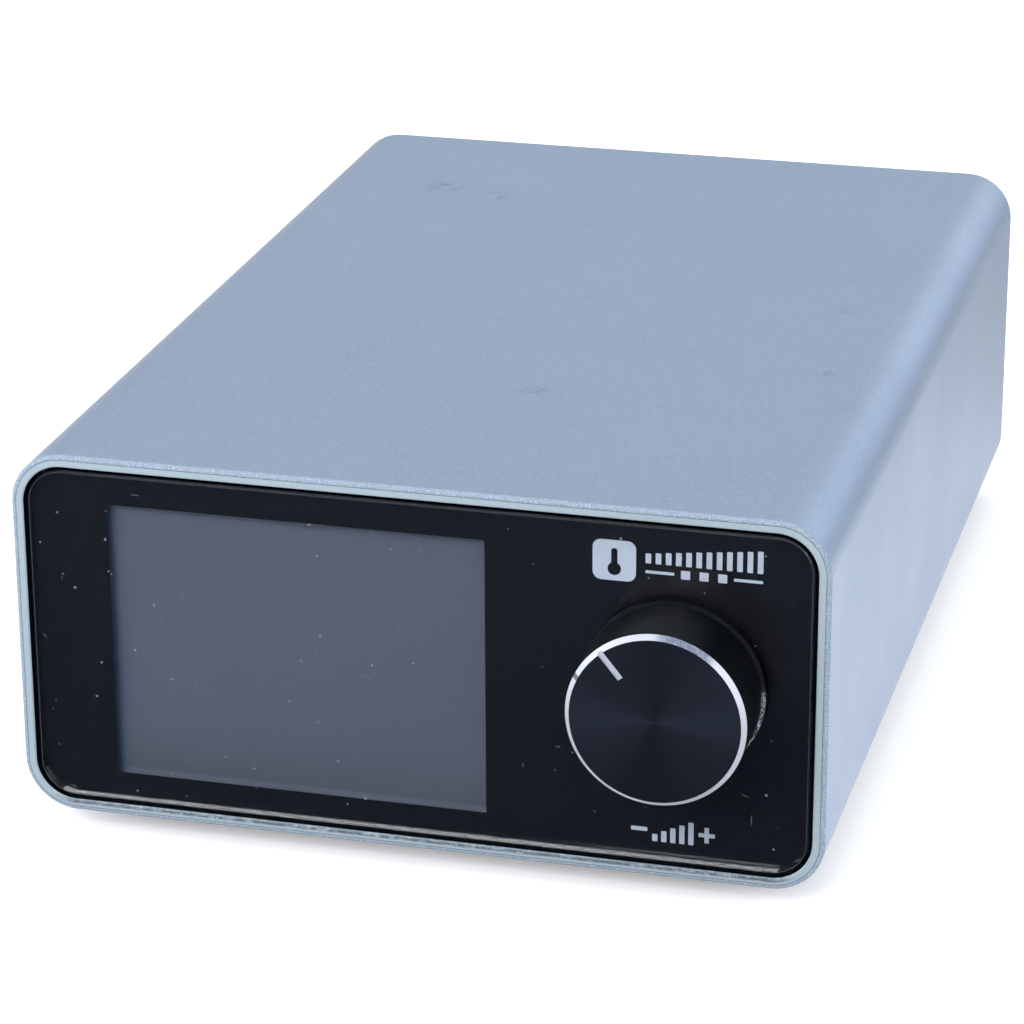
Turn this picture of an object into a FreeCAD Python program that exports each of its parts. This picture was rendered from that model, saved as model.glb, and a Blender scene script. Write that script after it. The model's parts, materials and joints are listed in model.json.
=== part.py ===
"""Bench soldering-station control unit: an extruded aluminium tube with a glass front, a colour
display, a push-and-turn knob, and a rear panel with mains inlet, tool socket and earth jack.

Millimetres, +Z up, the front faces -Y. The origin is on the surface that the feet stand on,
under the centre of the whole unit, so X = 0 is the case's centre plane."""

import FreeCAD, Part
import math
import os

V = FreeCAD.Vector

# ---- driving dimensions -------------------------------------------------------------------
case_width = 105.0
case_height = 49.0
case_depth = 152.0
case_radius = 6.8
wall = 1.6
rim_bevel = 0.35
rim_inner_bevel = 0.2
fit_gap = 0.15                 # a part that slides into the tube
screw_gap = 0.05               # between a screw's shank and the hole it is driven into

foot_length = 20.0
foot_width = 8.0
foot_height = 3.0
foot_corner = 1.6
foot_bevel = 0.6
foot_from_side = 12.0
foot_from_front = 6.6
foot_from_rear = 9.0
left_foot_set_back = 2.6       # the front left foot is stuck on a little further back

# screw channels in the tube's corners
channel_inset = 3.7            # from the inner walls to the screw's axis
channel_radius = 3.0
channel_slit = 1.4
screw_radius = 1.45
screw_slack = 0.15             # around a screw's shank in the pieces it passes through
screw_bite = 6.0

# the layers of the front, from the rim inwards
glass_recess = 0.2
glass_thickness = 1.8
glass_gap = 0.4
glass_bevel = 0.25
mask_thickness = 0.1
mask_margin = 0.15
tape_thickness = 1.0
tape_margin = 0.4
bezel_thickness = 3.0
bezel_skin = 1.3               # what is left of the frame where its back is hollow
board_thickness = 1.6

# display
screen_x = -15.6
screen_z = -0.5                # above the case's middle
screen_width = 49.2
screen_height = 37.0
screen_corner = 0.35
lcd_border_left = 2.5
lcd_border_right = 8.8
lcd_border_top = 3.0
lcd_glass_thickness = 1.4
lcd_tray_thickness = 1.2
lcd_gap = 0.3
lcd_ledge = 3.5                # of the rear glass, bare on the right for the ribbon
lcd_set_back = 0.2             # from the bezel's front face to the display's glass
ribbon_width = 16.5
ribbon_thickness = 0.15
ribbon_lap = 2.6

# encoder and knob
knob_x = 33.4
knob_z = 1.75                  # above the case's middle
knob_radius = 11.2
knob_reach = 11.2              # from the rim to the knob's face
knob_standoff = 0.8            # from the rim to the knob's back
knob_bevel = 0.65
knob_skirt = 0.35              # the skirt at the back stands this much proud of the barrel
knob_skirt_length = 0.7
knob_back_recess = 2.4
knob_wall = 1.8
knob_hub_wall = 2.5
knob_bore_depth = 8.0
pointer_angle = 129.0
pointer_inner = 6.7
pointer_width = 0.75
pointer_depth = 0.3
grub_radius = 1.5
grub_length = 5.0
grub_socket_radius = 0.7
shaft_radius = 3.0
shaft_flat = 1.5               # from the axis to the flat
shaft_length = 15.0
shaft_bevel = 0.4
shaft_round = 1.0              # between the bushing and where the flat starts
shaft_inner_length = 3.2       # inside the encoder's body
running_gap = 0.05
push_travel = 0.5
bushing_wall = 0.5
bushing_length = 5.0
bushing_bevel = 0.3
encoder_width = 11.7
encoder_height = 12.0
encoder_thickness = 6.5
encoder_bevel = 0.6
encoder_board_thickness = 1.2
encoder_board_margin = 3.0
encoder_nut_wall = 1.5
encoder_nut_thickness = 2.0
encoder_washer_margin = 0.5    # beyond the nut's flats
encoder_washer_thickness = 0.5
nut_well_gap = 0.8             # around the nut's corners
glass_hole_gap = 1.3           # around the shaft
plunger_radius = 2.6
plunger_thickness = 1.5

# rear panel and what it carries
rear_recess = 0.3
rear_thickness = 2.0
pan_head_radius = 2.7
pan_head_height = 1.9
pan_head_bevel = 0.8
cross_width = 0.8
cross_length = 2.9
cross_depth = 1.0

inlet_x = -21.0
inlet_width = 47.0
inlet_wall = 1.4               # above and below the plug's way in
inlet_depth = 28.0             # behind the panel's outer face
inlet_cut_gap = 0.2
flange_overlap = 1.9
flange_thickness = 2.4
flange_radius = 2.2
flange_bevel = 0.7
mains_width = 16.6
mains_height = 24.2
mains_depth = 16.0
mains_chamfer = 5.0
mains_x = -12.4                # from the inlet's middle
blade_width = 4.0
blade_thickness = 2.0
blade_length = 11.4
blade_spacing = 14.0
blade_offset = 2.0
blade_bevel = 0.5
tab_width = 6.3
tab_thickness = 0.8
tab_length = 8.0
drawer_x = 2.3
drawer_depth = 19.0
drawer_gap = 0.2
drawer_face = 2.0
drawer_floor = 1.2
drawer_notch = 2.2
fuse_radius = 2.5
fuse_length = 18.4
fuse_side_gap = 0.3
fuse_end_gap = 0.1
fuse_cap_length = 5.0
fuse_glass_radius = 2.3
rocker_x = 14.6
rocker_width = 12.4
rocker_radius = 9.4
rocker_gap = 0.3
rocker_tilt = 10.0
rocker_pivot_depth = 2.4       # behind the flange's face
rocker_crown = 3.2             # from the pivot to the middle of the paddle's face
rocker_underside = 3.4
rocker_pin_radius = 1.2
rocker_pin_length = 1.0
rocker_well = 7.0              # the well's depth behind the pivot
switch_tab_rise = 7.0          # from the inlet's middle up and down to the two tabs
switch_tab_root = 4.0

socket_x = 21.5
socket_bore = 4.9
socket_wall = 1.1
socket_flange_width = 2.2      # beyond the barrel
socket_flange_thickness = 2.0
socket_barrel = 8.0            # beyond its flange
socket_bore_depth = 8.5
socket_tail = 9.0              # behind the panel's outer face
socket_pin_count = 5
socket_pin_radius = 0.6
socket_pin_circle = 2.8
socket_pin_length = 4.2
socket_cup_length = 4.0
socket_pin_bevel = 0.25
socket_bevel = 0.5
socket_flange_bevel = 0.4
socket_key_width = 1.2
socket_key_height = 0.7
socket_key_set_back = 1.0
socket_nut_wall = 1.5
socket_nut_thickness = 2.4

jack_x = 39.5
jack_bore = 2.05
jack_tube_wall = 0.85
jack_body_wall = 1.0
jack_flange_width = 1.7        # beyond the body
jack_flange_thickness = 3.2
jack_flange_bevel = 0.8
jack_depth = 17.0
jack_tail = 4.0
jack_end = 1.5                 # the sleeve's closed end
jack_nut_wall = 1.6
jack_nut_thickness = 2.2
jack_nut_margin = 0.6

earth_x = 8.5
earth_z = -17.0
earth_ring_width = 1.6
earth_ring_thickness = 0.8
earth_nut_wall = 1.3
earth_nut_thickness = 2.4
earth_tail_length = 6.0
earth_screw_end = 1.0          # past its nut

# power board, carried in the tube's rails
rail_height = 9.0              # from the tube's floor to the board
rail_reach = 2.4
rail_thickness = 1.2
rail_slot_gap = 0.3
power_from_rim = 24.0
power_length = 70.0
power_side_gap = 0.5
sheet_thickness = 0.3
sheet_margin = 1.0

# parts on the power board: middle x, middle y from the board's front edge, then sizes
transformer_x = 2.0
transformer_y = 36.0
core_width = 29.0
core_length = 24.0
core_height = 11.0
core_limb = 5.0
core_centre_limb = 8.0
bobbin_height = 25.0
bobbin_floor = 3.0
bobbin_wall = 0.9
winding_gap = 0.2
capacitor_places = [(-22.0, 22.0, 8.0, 28.0), (-22.0, 43.0, 8.0, 28.0),
                    (26.0, 12.0, 5.0, 20.0), (38.0, 12.0, 5.0, 20.0)]
choke_place = (-21.0, 60.5)
choke_radius = 5.6
choke_winding = 3.4
choke_sides = 8                # the wound ring's section
film_edge = 0.8
film_places = [(0.0, 62.0, 18.0, 8.0, 14.0), (-41.0, 58.0, 8.0, 14.0, 12.0)]
sink_places = [(-37.5, 28.0, 34.0, -1), (37.5, 42.0, 34.0, 1)]
sink_thickness = 2.5
sink_height = 26.0
sink_fin = 5.0
sink_fin_count = 5
sink_fin_thickness = 1.7
transistor_places = [(-37.5, 28.0, 1), (37.5, 35.0, -1), (37.5, 49.0, -1)]
transistor_width = 10.2
transistor_thickness = 4.6
transistor_height = 16.0
terminal_pitch = 5.0
terminal_depth = 8.0
terminal_height = 10.0
terminal_screw_radius = 1.6
terminal_screw_depth = 3.0
input_terminal = (24.0, 64.5, 3)
output_terminal = (-9.0, 14.0, 2)
terminal_lead_height = 4.0

# parts on the control board's back: x and z from the panel's middle, width, height, thickness
control_side_gap = 0.3
chip_places = [(-22.0, 6.0, 10.0, 10.0, 1.4), (-40.0, 4.0, 6.0, 5.0, 1.5),
               (-8.0, -8.0, 5.0, 6.0, 1.5), (4.0, 9.0, 7.5, 10.0, 2.0)]
heater_places = [(17.0, -12.0), (26.0, -12.0)]
heater_size = (6.6, 6.1, 2.3)
supply_header = (-30.0, -6.0, 10.0)
tool_header = (6.0, -3.0, 12.5)
encoder_header = (18.0, 8.0, 8.5)
header_height = 6.0
header_depth = 7.0
header_wall = 1.0
plug_gap = 0.1
plug_reach = 9.0               # from the board to the plug's back
buzzer_place = (-8.0, 11.0)
buzzer_radius = 4.5
buzzer_height = 5.5

lead_radius = 1.1
thin_lead_radius = 0.8
tool_cable_radius = 2.4
tool_cable_rise = 19.0         # above the case's middle, over the power board's tallest parts

# ---- sizes and places that follow from them ---------------------------------------------------
screw_clearance = screw_radius + screw_slack
earth_ring_radius = screw_clearance + earth_ring_width
earth_nut_flats = 2 * (screw_radius + earth_nut_wall)
bushing_radius = shaft_radius + bushing_wall
encoder_nut_flats = 2 * (bushing_radius + encoder_nut_wall)
encoder_washer_radius = encoder_nut_flats / 2 + encoder_washer_margin
nut_well_radius = encoder_nut_flats / math.sqrt(3) + nut_well_gap
glass_hole_radius = shaft_radius + glass_hole_gap
inlet_height = mains_height + 2 * inlet_wall
drawer_width = 2 * (fuse_radius + fuse_side_gap + drawer_floor)
drawer_height = fuse_length + 2 * (fuse_end_gap + drawer_floor)
socket_radius = socket_bore + socket_wall
socket_flange_radius = socket_radius + socket_flange_width
socket_nut_flats = 2 * (socket_radius + socket_nut_wall)
jack_tube_radius = jack_bore + jack_tube_wall
jack_body_radius = jack_tube_radius + jack_body_wall
jack_flange_radius = jack_body_radius + jack_flange_width
jack_nut_flats = 2 * (jack_body_radius + jack_nut_wall)

glass_front_gap = wall + glass_gap
flange_reach = socket_flange_thickness + socket_barrel - rear_recess
overall_length = knob_reach + case_depth + flange_reach

rim_y = -overall_length / 2 + knob_reach
rear_y = rim_y + case_depth
mid_z = foot_height + case_height / 2
floor_z = foot_height + wall

glass_y = rim_y + glass_recess
mask_y = glass_y + glass_thickness
tape_y = mask_y + mask_thickness
bezel_y = tape_y + tape_thickness
control_y = bezel_y + bezel_thickness
channel_y = control_y + board_thickness      # the tube's screw channels start here

panel_y = rear_y - rear_recess               # the rear panel's outer face
panel_in_y = panel_y - rear_thickness

channel_x = case_width / 2 - wall - channel_inset
channel_z = case_height / 2 - wall - channel_inset

panel_width = case_width - 2 * glass_front_gap
panel_height = case_height - 2 * glass_front_gap
panel_radius = case_radius - glass_front_gap

knob_z_abs = mid_z + knob_z
power_top_z = floor_z + rail_height + board_thickness
power_y = rim_y + power_from_rim
power_width = case_width - 2 * (wall + power_side_gap)

flange_y = panel_y + flange_thickness        # the inlet flange's face
rocker_y = flange_y - rocker_pivot_depth


# ---- plain shapes -----------------------------------------------------------------------------
def block(x0, x1, y0, y1, z0, z1):
    return Part.makeBox(x1 - x0, y1 - y0, z1 - z0, V(x0, y0, z0))


def slab(x, width, y0, y1, z, height):
    """A block centred on x and z, from y0 to y1."""
    return block(x - width / 2, x + width / 2, y0, y1, z - height / 2, z + height / 2)


def rod(x, z, radius, y0, y1):
    return Part.makeCylinder(radius, y1 - y0, V(x, y0, z), V(0, 1, 0))


def tube(x, z, outer, inner, y0, y1):
    return rod(x, z, outer, y0, y1).cut(rod(x, z, inner, y0 - 1, y1 + 1))


def post(x, y, radius, z0, z1):
    return Part.makeCylinder(radius, z1 - z0, V(x, y, z0), V(0, 0, 1))


def rounded_wire(x, z, width, height, radius, y):
    """A rectangle with round corners, in the plane at y, of straight edges and arcs."""
    edges = []
    hw = width / 2 - radius
    hh = height / 2 - radius
    corners = [(hw, hh, 0), (-hw, hh, 90), (-hw, -hh, 180), (hw, -hh, 270)]
    ends = []
    for cx, cz, start in corners:
        marks = [math.radians(start + turn) for turn in (0, 45, 90)]
        points = [V(x + cx + radius * math.cos(a), y, z + cz + radius * math.sin(a)) for a in marks]
        ends.append((points[0], points[2]))
        edges.append(Part.Arc(*points).toShape())
    for i, (_, leaving) in enumerate(ends):
        arriving = ends[(i + 1) % len(ends)][0]
        edges.append(Part.makeLine(leaving, arriving))
    return Part.Wire(Part.__sortEdges__(edges))


def rounded_slab(x, z, width, height, radius, y0, y1):
    face = Part.Face(rounded_wire(x, z, width, height, radius, y0))
    return face.extrude(V(0, y1 - y0, 0))


def hex_prism(x, z, flats, y0, y1):
    corner = flats / math.sqrt(3)
    marks = [math.radians(60 * i) for i in range(7)]
    points = [V(x + corner * math.cos(a), y0, z + corner * math.sin(a)) for a in marks]
    return Part.Face(Part.makePolygon(points)).extrude(V(0, y1 - y0, 0))


def nut(x, z, flats, bore, y0, y1):
    """A hexagon nut with its corners turned off."""
    bevel = flats * 0.05
    corner = flats / math.sqrt(3)
    body = hex_prism(x, z, flats, y0, y1)
    height = y1 - y0
    low = Part.makeCone(corner - bevel, corner + height, height + bevel, V(x, y0, z), V(0, 1, 0))
    high = Part.makeCone(corner - bevel, corner + height, height + bevel, V(x, y1, z), V(0, -1, 0))
    return body.common(low).common(high).cut(rod(x, z, bore, y0 - 1, y1 + 1))


def revolve_y(points, x, z):
    """Turns a closed outline of (radius, y) points about the line along Y through x and z."""
    corners = [V(x + r, y, z) for r, y in points]
    face = Part.Face(Part.makePolygon(corners + corners[:1]))
    return face.revolve(V(x, 0, z), V(0, 1, 0), 360)


def bevel_edges(shape, size, wanted):
    edges = [e for e in shape.Edges if wanted(e)]
    return shape.makeChamfer(size, edges)


def soften(shape, size, wanted):
    edges = [e for e in shape.Edges if wanted(e)]
    return shape.makeFillet(size, edges)


def lies_at_y(edge, y):
    box = edge.BoundBox
    return abs(box.YMin - y) < 1e-4 and abs(box.YMax - y) < 1e-4


def along(edge, axis):
    """True for a straight edge along that axis."""
    if len(edge.Vertexes) != 2 or edge.Curve.TypeId != "Part::GeomLine":
        return False
    ray = edge.Vertexes[1].Point - edge.Vertexes[0].Point
    return abs(abs(ray.dot(axis)) - ray.Length) < 1e-6


def group(shapes):
    return Part.makeCompound(list(shapes))


def corners():
    """The axes of the four screw channels, as (x, z)."""
    return [(sx * channel_x, mid_z + sz * channel_z) for sx in (-1, 1) for sz in (-1, 1)]


# ---- the case ---------------------------------------------------------------------------------
def screw_channel(x, z, y0, y1):
    """One corner's channel: a round boss joined to both walls, open along a slit towards the middle."""
    side = 1 if x > 0 else -1
    up = 1 if z > mid_z else -1
    wall_x = side * (case_width / 2 - wall / 2)
    wall_z = mid_z + up * (case_height / 2 - wall / 2)
    web = block(min(x, wall_x), max(x, wall_x), y0, y1, min(z, wall_z), max(z, wall_z))
    boss = rod(x, z, channel_radius, y0, y1).fuse(web)
    slit = slab(x - side * channel_radius / 2, channel_radius, y0 - 1, y1 + 1, z, channel_slit)
    hole = rod(x, z, screw_radius + screw_gap, y0 - 1, y1 + 1)
    return boss.cut(hole.fuse(slit))


def board_rails(y0, y1):
    """Two ribs on each side wall, with a slot between them that the power board slides into."""
    inner = case_width / 2 - wall
    slot = board_thickness + rail_slot_gap
    low = floor_z + rail_height
    ribs = []
    for side in (-1, 1):
        x0, x1 = sorted((side * (inner - rail_reach), side * (inner + wall / 2)))
        ribs.append(block(x0, x1, y0, y1, low - rail_thickness, low))
        ribs.append(block(x0, x1, y0, y1, low + slot, low + slot + rail_thickness))
    return ribs


def case_tube():
    outer = rounded_slab(0, mid_z, case_width, case_height, case_radius, rim_y, rear_y)
    hollow = rounded_slab(0, mid_z, case_width - 2 * wall, case_height - 2 * wall,
                          case_radius - wall, rim_y - 1, rear_y + 1)
    inside = [screw_channel(x, z, channel_y, panel_in_y) for x, z in corners()]
    inside += board_rails(channel_y, panel_in_y)
    shell = outer.cut(hollow)
    ends = (rim_y, rear_y)
    reach = case_width / 2 - wall / 2
    rise = case_height / 2 - wall / 2

    def is_outside(edge):
        box = edge.BoundBox
        across = max(abs(box.XMin), abs(box.XMax)) > reach
        return across or max(abs(box.ZMin - mid_z), abs(box.ZMax - mid_z)) > rise

    def at_end(edge):
        return any(lies_at_y(edge, y) for y in ends)

    shell = bevel_edges(shell, rim_bevel, lambda e: at_end(e) and is_outside(e))
    shell = bevel_edges(shell, rim_inner_bevel, lambda e: at_end(e) and not is_outside(e))
    body = shell.fuse([piece.common(outer) for piece in inside])
    return body.removeSplitter()


def foot(side, front):
    set_back = left_foot_set_back if side < 0 and front else 0
    if front:
        y0 = rim_y + foot_from_front + set_back
    else:
        y0 = rear_y - foot_from_rear - foot_width
    x = side * (case_width / 2 - foot_from_side - foot_length / 2)
    half = foot_length / 2
    pad = block(x - half, x + half, y0, y0 + foot_width, 0, foot_height)
    pad = soften(pad, foot_corner, lambda e: along(e, V(0, 0, 1)))
    return bevel_edges(pad, foot_bevel, lambda e: e.BoundBox.ZMax < 1e-4)


# ---- the front ----------------------------------------------------------------------------------
def encoder_hole(radius, y0, y1):
    return rod(knob_x, knob_z_abs, radius, y0 - 1, y1 + 1)


def lcd_outline():
    """The display glass's centre, width and height; the active area is not in its middle."""
    width = screen_width + lcd_border_left + lcd_border_right
    x = screen_x + (lcd_border_right - lcd_border_left) / 2
    return x, width, screen_height + 2 * lcd_border_top


def front_glass():
    plate = rounded_slab(0, mid_z, panel_width, panel_height, panel_radius, glass_y, mask_y)
    plate = bevel_edges(plate, glass_bevel, lambda e: lies_at_y(e, glass_y))
    return plate.cut(encoder_hole(glass_hole_radius, glass_y, mask_y))


def mask_film():
    film = rounded_slab(0, mid_z, panel_width - 2 * mask_margin, panel_height - 2 * mask_margin,
                        panel_radius - mask_margin, mask_y, tape_y)
    window = rounded_slab(screen_x, mid_z + screen_z, screen_width, screen_height, screen_corner,
                          mask_y - 1, tape_y + 1)
    return film.cut(window).cut(encoder_hole(glass_hole_radius, mask_y, tape_y))


def lcd_opening(y0, y1, gap):
    x, width, height = lcd_outline()
    return slab(x, width + 2 * gap, y0 - 1, y1 + 1, mid_z, height + 2 * gap)


def glass_tape():
    ring = rounded_slab(0, mid_z, panel_width - 2 * tape_margin, panel_height - 2 * tape_margin,
                        panel_radius - tape_margin, tape_y, bezel_y)
    ring = ring.cut(lcd_opening(tape_y, bezel_y, lcd_gap))
    return ring.cut(encoder_hole(nut_well_radius, tape_y, bezel_y))


def csk_height():
    return pan_head_radius - screw_radius


def csk_cone(x, z, gap):
    """A countersunk head's cone, from the bezel's face inwards, grown by gap."""
    top = pan_head_radius + gap
    bottom = screw_radius + gap
    return Part.makeCone(top, bottom, csk_height(), V(x, bezel_y, z), V(0, 1, 0))


def bezel_frame():
    """A moulded frame that the glass is stuck to: an opening for the display, a well for the
    encoder's nut, four countersunk holes, and ribs across its hollow back."""
    frame = rounded_slab(0, mid_z, panel_width, panel_height, panel_radius, bezel_y, control_y)
    frame = frame.cut(lcd_opening(bezel_y, control_y, lcd_gap))
    frame = frame.cut(encoder_hole(nut_well_radius, bezel_y, control_y))
    for x, z in corners():
        frame = frame.cut(csk_cone(x, z, screw_gap))
        frame = frame.cut(rod(x, z, screw_clearance, bezel_y, control_y + 1))
    x, width, _ = lcd_outline()
    left = x + width / 2 + lcd_gap + wall
    well = nut_well_radius + wall
    pocket_right = knob_x - well
    low, high = mid_z - panel_height / 2 + wall, mid_z + panel_height / 2 - wall
    frame = frame.cut(block(left, pocket_right, bezel_y + bezel_skin, control_y + 1, low, high))
    for z0, z1 in ((low, knob_z_abs - well), (knob_z_abs + well, high)):
        inner = channel_x - channel_radius - wall
        frame = frame.cut(block(pocket_right + wall, inner, bezel_y + bezel_skin, control_y + 1, z0, z1))
    return frame


def front_screws():
    screws = []
    for x, z in corners():
        head = csk_cone(x, z, 0)
        shank = rod(x, z, screw_radius, bezel_y, channel_y + screw_bite)
        deep = bezel_y + csk_height() / 2
        slot = slab(x, cross_length, bezel_y - 1, deep, z, cross_width)
        cross = slab(x, cross_width, bezel_y - 1, deep, z, cross_length)
        screws.append(head.fuse(shank).cut(slot.fuse(cross)))
    return group(screws)


def lcd_panel():
    """The display's two sheets of glass: the front one is short on the right, where the ribbon bonds."""
    x, width, height = lcd_outline()
    front = bezel_y + lcd_set_back
    step = lcd_glass_thickness / 2
    back = slab(x, width, front + step, front + lcd_glass_thickness, mid_z, height)
    cover = block(x - width / 2, x + width / 2 - lcd_ledge, front, front + step,
                  mid_z - height / 2, mid_z + height / 2)
    return cover.fuse(back).removeSplitter()


def lcd_backlight():
    x, width, height = lcd_outline()
    front = bezel_y + lcd_set_back + lcd_glass_thickness
    return slab(x, width, front, front + lcd_tray_thickness, mid_z, height)


def lcd_ribbon():
    """The flat cable that folds from the display's ledge round its edge to the control board."""
    x, width, _ = lcd_outline()
    edge = x + width / 2
    start = bezel_y + lcd_set_back + lcd_glass_thickness / 2
    side = edge + lcd_gap / 3
    front = start - ribbon_thickness
    low, high = mid_z - ribbon_width / 2, mid_z + ribbon_width / 2
    top = block(edge - ribbon_lap, side + ribbon_thickness, front, start, low, high)
    fall = block(side, side + ribbon_thickness, front, control_y, low, high)
    return top.fuse(fall).removeSplitter()


# ---- control board --------------------------------------------------------------------------------
def control_board():
    gap = control_side_gap
    board = rounded_slab(0, mid_z, panel_width - 2 * gap, panel_height - 2 * gap,
                         panel_radius - gap, control_y, channel_y)
    for x, z in corners():
        board = board.cut(rod(x, z, screw_clearance, control_y - 1, channel_y + 1))
    return board.cut(encoder_hole(bushing_radius + running_gap, control_y, channel_y))


def on_control(x, z, width, height, thickness):
    """A part on the control board's back, at x and z from the panel's middle."""
    return slab(x, width, channel_y, channel_y + thickness, mid_z + z, height)


def control_chips():
    """The processor and its neighbours, and the two flat transistors that switch the heater."""
    flat = [on_control(*place) for place in chip_places]
    return group(flat + [on_control(x, z, *heater_size) for x, z in heater_places])


def headers():
    return (supply_header, tool_header, encoder_header)


def board_connectors():
    """White crimp headers on the control board's back: supply, tool and encoder."""
    shells = []
    for x, z, width in headers():
        shell = on_control(x, z, width, header_height, header_depth)
        mouth = slab(x, width - 2 * header_wall, channel_y + header_wall * 2,
                     channel_y + header_depth + 1, mid_z + z, header_height - 2 * header_wall)
        shells.append(shell.cut(mouth))
    return group(shells)


def lead_plugs():
    """The leads' crimp housings, pushed into the headers."""
    inset = 2 * (header_wall + plug_gap)
    return group(slab(x, width - inset, channel_y + header_wall * 2, channel_y + plug_reach,
                      mid_z + z, header_height - inset) for x, z, width in headers())


def buzzer():
    x, z = buzzer_place
    top = channel_y + buzzer_height
    body = rod(x, mid_z + z, buzzer_radius, channel_y, top)
    return body.cut(rod(x, mid_z + z, buzzer_radius / 4, top - 1, top + 1))


# ---- encoder and knob --------------------------------------------------------------------------------
def encoder_body():
    body = slab(knob_x, encoder_width, channel_y, channel_y + encoder_thickness,
                knob_z_abs, encoder_height)
    body = bevel_edges(body, encoder_bevel, lambda e: along(e, V(0, 1, 0)))
    well_depth = shaft_inner_length + plunger_thickness + push_travel + 4 * running_gap
    well = rod(knob_x, knob_z_abs, shaft_radius + 4 * running_gap, channel_y - 1,
               channel_y + well_depth)
    return body.cut(well)


def encoder_bushing():
    bush = rod(knob_x, knob_z_abs, bushing_radius, channel_y - bushing_length, channel_y)
    bush = bevel_edges(bush, bushing_bevel, lambda e: lies_at_y(e, channel_y - bushing_length))
    return bush.cut(encoder_hole(shaft_radius + running_gap, channel_y - bushing_length, channel_y))


def encoder_washer():
    return tube(knob_x, knob_z_abs, encoder_washer_radius, bushing_radius + running_gap,
                control_y - encoder_washer_thickness, control_y)


def encoder_nut():
    seat = control_y - encoder_washer_thickness
    return nut(knob_x, knob_z_abs, encoder_nut_flats, bushing_radius + running_gap,
               seat - encoder_nut_thickness, seat)


def encoder_board():
    back = channel_y + encoder_thickness
    width = encoder_width + 2 * encoder_board_margin
    height = encoder_height + encoder_board_margin
    return slab(knob_x, width, back, back + encoder_board_thickness, knob_z_abs, height)


def flat_cutter(y0, y1, distance):
    """Cuts everything beyond the shaft's flat, which faces the grub screw."""
    side = block(distance, 4 * shaft_radius, y0, y1, -2 * shaft_radius, 2 * shaft_radius)
    side.rotate(V(0, 0, 0), V(0, 1, 0), -grub_angle())
    side.translate(V(knob_x, 0, knob_z_abs))
    return side


def grub_angle():
    return pointer_angle + 90.0


def encoder_shaft():
    tip = channel_y - shaft_length
    shaft = rod(knob_x, knob_z_abs, shaft_radius, tip, channel_y + shaft_inner_length)
    shaft = bevel_edges(shaft, shaft_bevel, lambda e: lies_at_y(e, tip))
    return shaft.cut(flat_cutter(tip - 1, channel_y - bushing_length - shaft_round, shaft_flat))


def encoder_plunger():
    start = channel_y + shaft_inner_length + running_gap
    return rod(knob_x, knob_z_abs, plunger_radius, start, start + plunger_thickness)


def knob():
    face = rim_y - knob_reach
    back = rim_y - knob_standoff
    skirt = knob_radius + knob_skirt
    step = back - knob_skirt_length
    inner = knob_radius - knob_wall
    hub = shaft_radius + knob_hub_wall
    outline = [
        (0, face), (knob_radius - knob_bevel, face), (knob_radius, face + knob_bevel),
        (knob_radius, step), (skirt, step + knob_skirt), (skirt, back),
        (inner, back), (inner, back - knob_back_recess), (hub, back - knob_back_recess),
        (hub, back), (0, back),
    ]
    body = revolve_y(outline, knob_x, knob_z_abs)
    bore_end = back - knob_bore_depth
    bore = rod(knob_x, knob_z_abs, shaft_radius + running_gap / 2, bore_end, back + 1)
    bore = bore.cut(flat_cutter(bore_end - 1, back - knob_back_recess / 2, shaft_flat + running_gap))
    body = body.cut(bore)
    return body.cut(pointer_groove(face)).cut(grub_hole())


def pointer_groove(face):
    """The line cut in the knob's face, from near its middle out through the bevel."""
    groove = block(pointer_inner, knob_radius + 1, face - 1, face + pointer_depth,
                   -pointer_width / 2, pointer_width / 2)
    groove.rotate(V(0, 0, 0), V(0, 1, 0), -pointer_angle)
    groove.translate(V(knob_x, 0, knob_z_abs))
    return groove


def grub_place():
    """The grub screw's height along the knob, and the way it points, out from the axis."""
    y = rim_y - knob_standoff - knob_back_recess - (knob_bore_depth - knob_back_recess) / 2
    turn = math.radians(grub_angle())
    return y, V(math.cos(turn), 0, math.sin(turn))


def grub_hole():
    y, out = grub_place()
    start = V(knob_x, y, knob_z_abs) + out * (shaft_flat + running_gap / 2)
    return Part.makeCylinder(grub_radius + screw_gap, 2 * knob_radius, start, out)


def knob_grub_screw():
    y, out = grub_place()
    start = V(knob_x, y, knob_z_abs) + out * (shaft_flat + running_gap)
    screw = Part.makeCylinder(grub_radius, grub_length, start, out)
    socket = Part.makeCylinder(grub_socket_radius, grub_length / 2, start + out * (grub_length / 2), out)
    return screw.cut(socket)


# ---- rear panel --------------------------------------------------------------------------------------
def rear_panel():
    panel = rounded_slab(0, mid_z, case_width - 2 * (wall + fit_gap), case_height - 2 * (wall + fit_gap),
                         case_radius - wall - fit_gap, panel_in_y, panel_y)
    cut = inlet_cut_gap
    panel = panel.cut(slab(inlet_x, inlet_width + 2 * cut, panel_in_y - 1, panel_y + 1,
                           mid_z, inlet_height + 2 * cut))
    panel = panel.cut(rod(socket_x, mid_z, socket_radius + screw_gap, panel_in_y - 1, panel_y + 1))
    panel = panel.cut(rod(jack_x, mid_z, jack_body_radius + screw_gap, panel_in_y - 1, panel_y + 1))
    holes = corners() + [(earth_x, mid_z + earth_z)]
    for x, z in holes:
        panel = panel.cut(rod(x, z, screw_clearance, panel_in_y - 1, panel_y + 1))
    return panel


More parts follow.
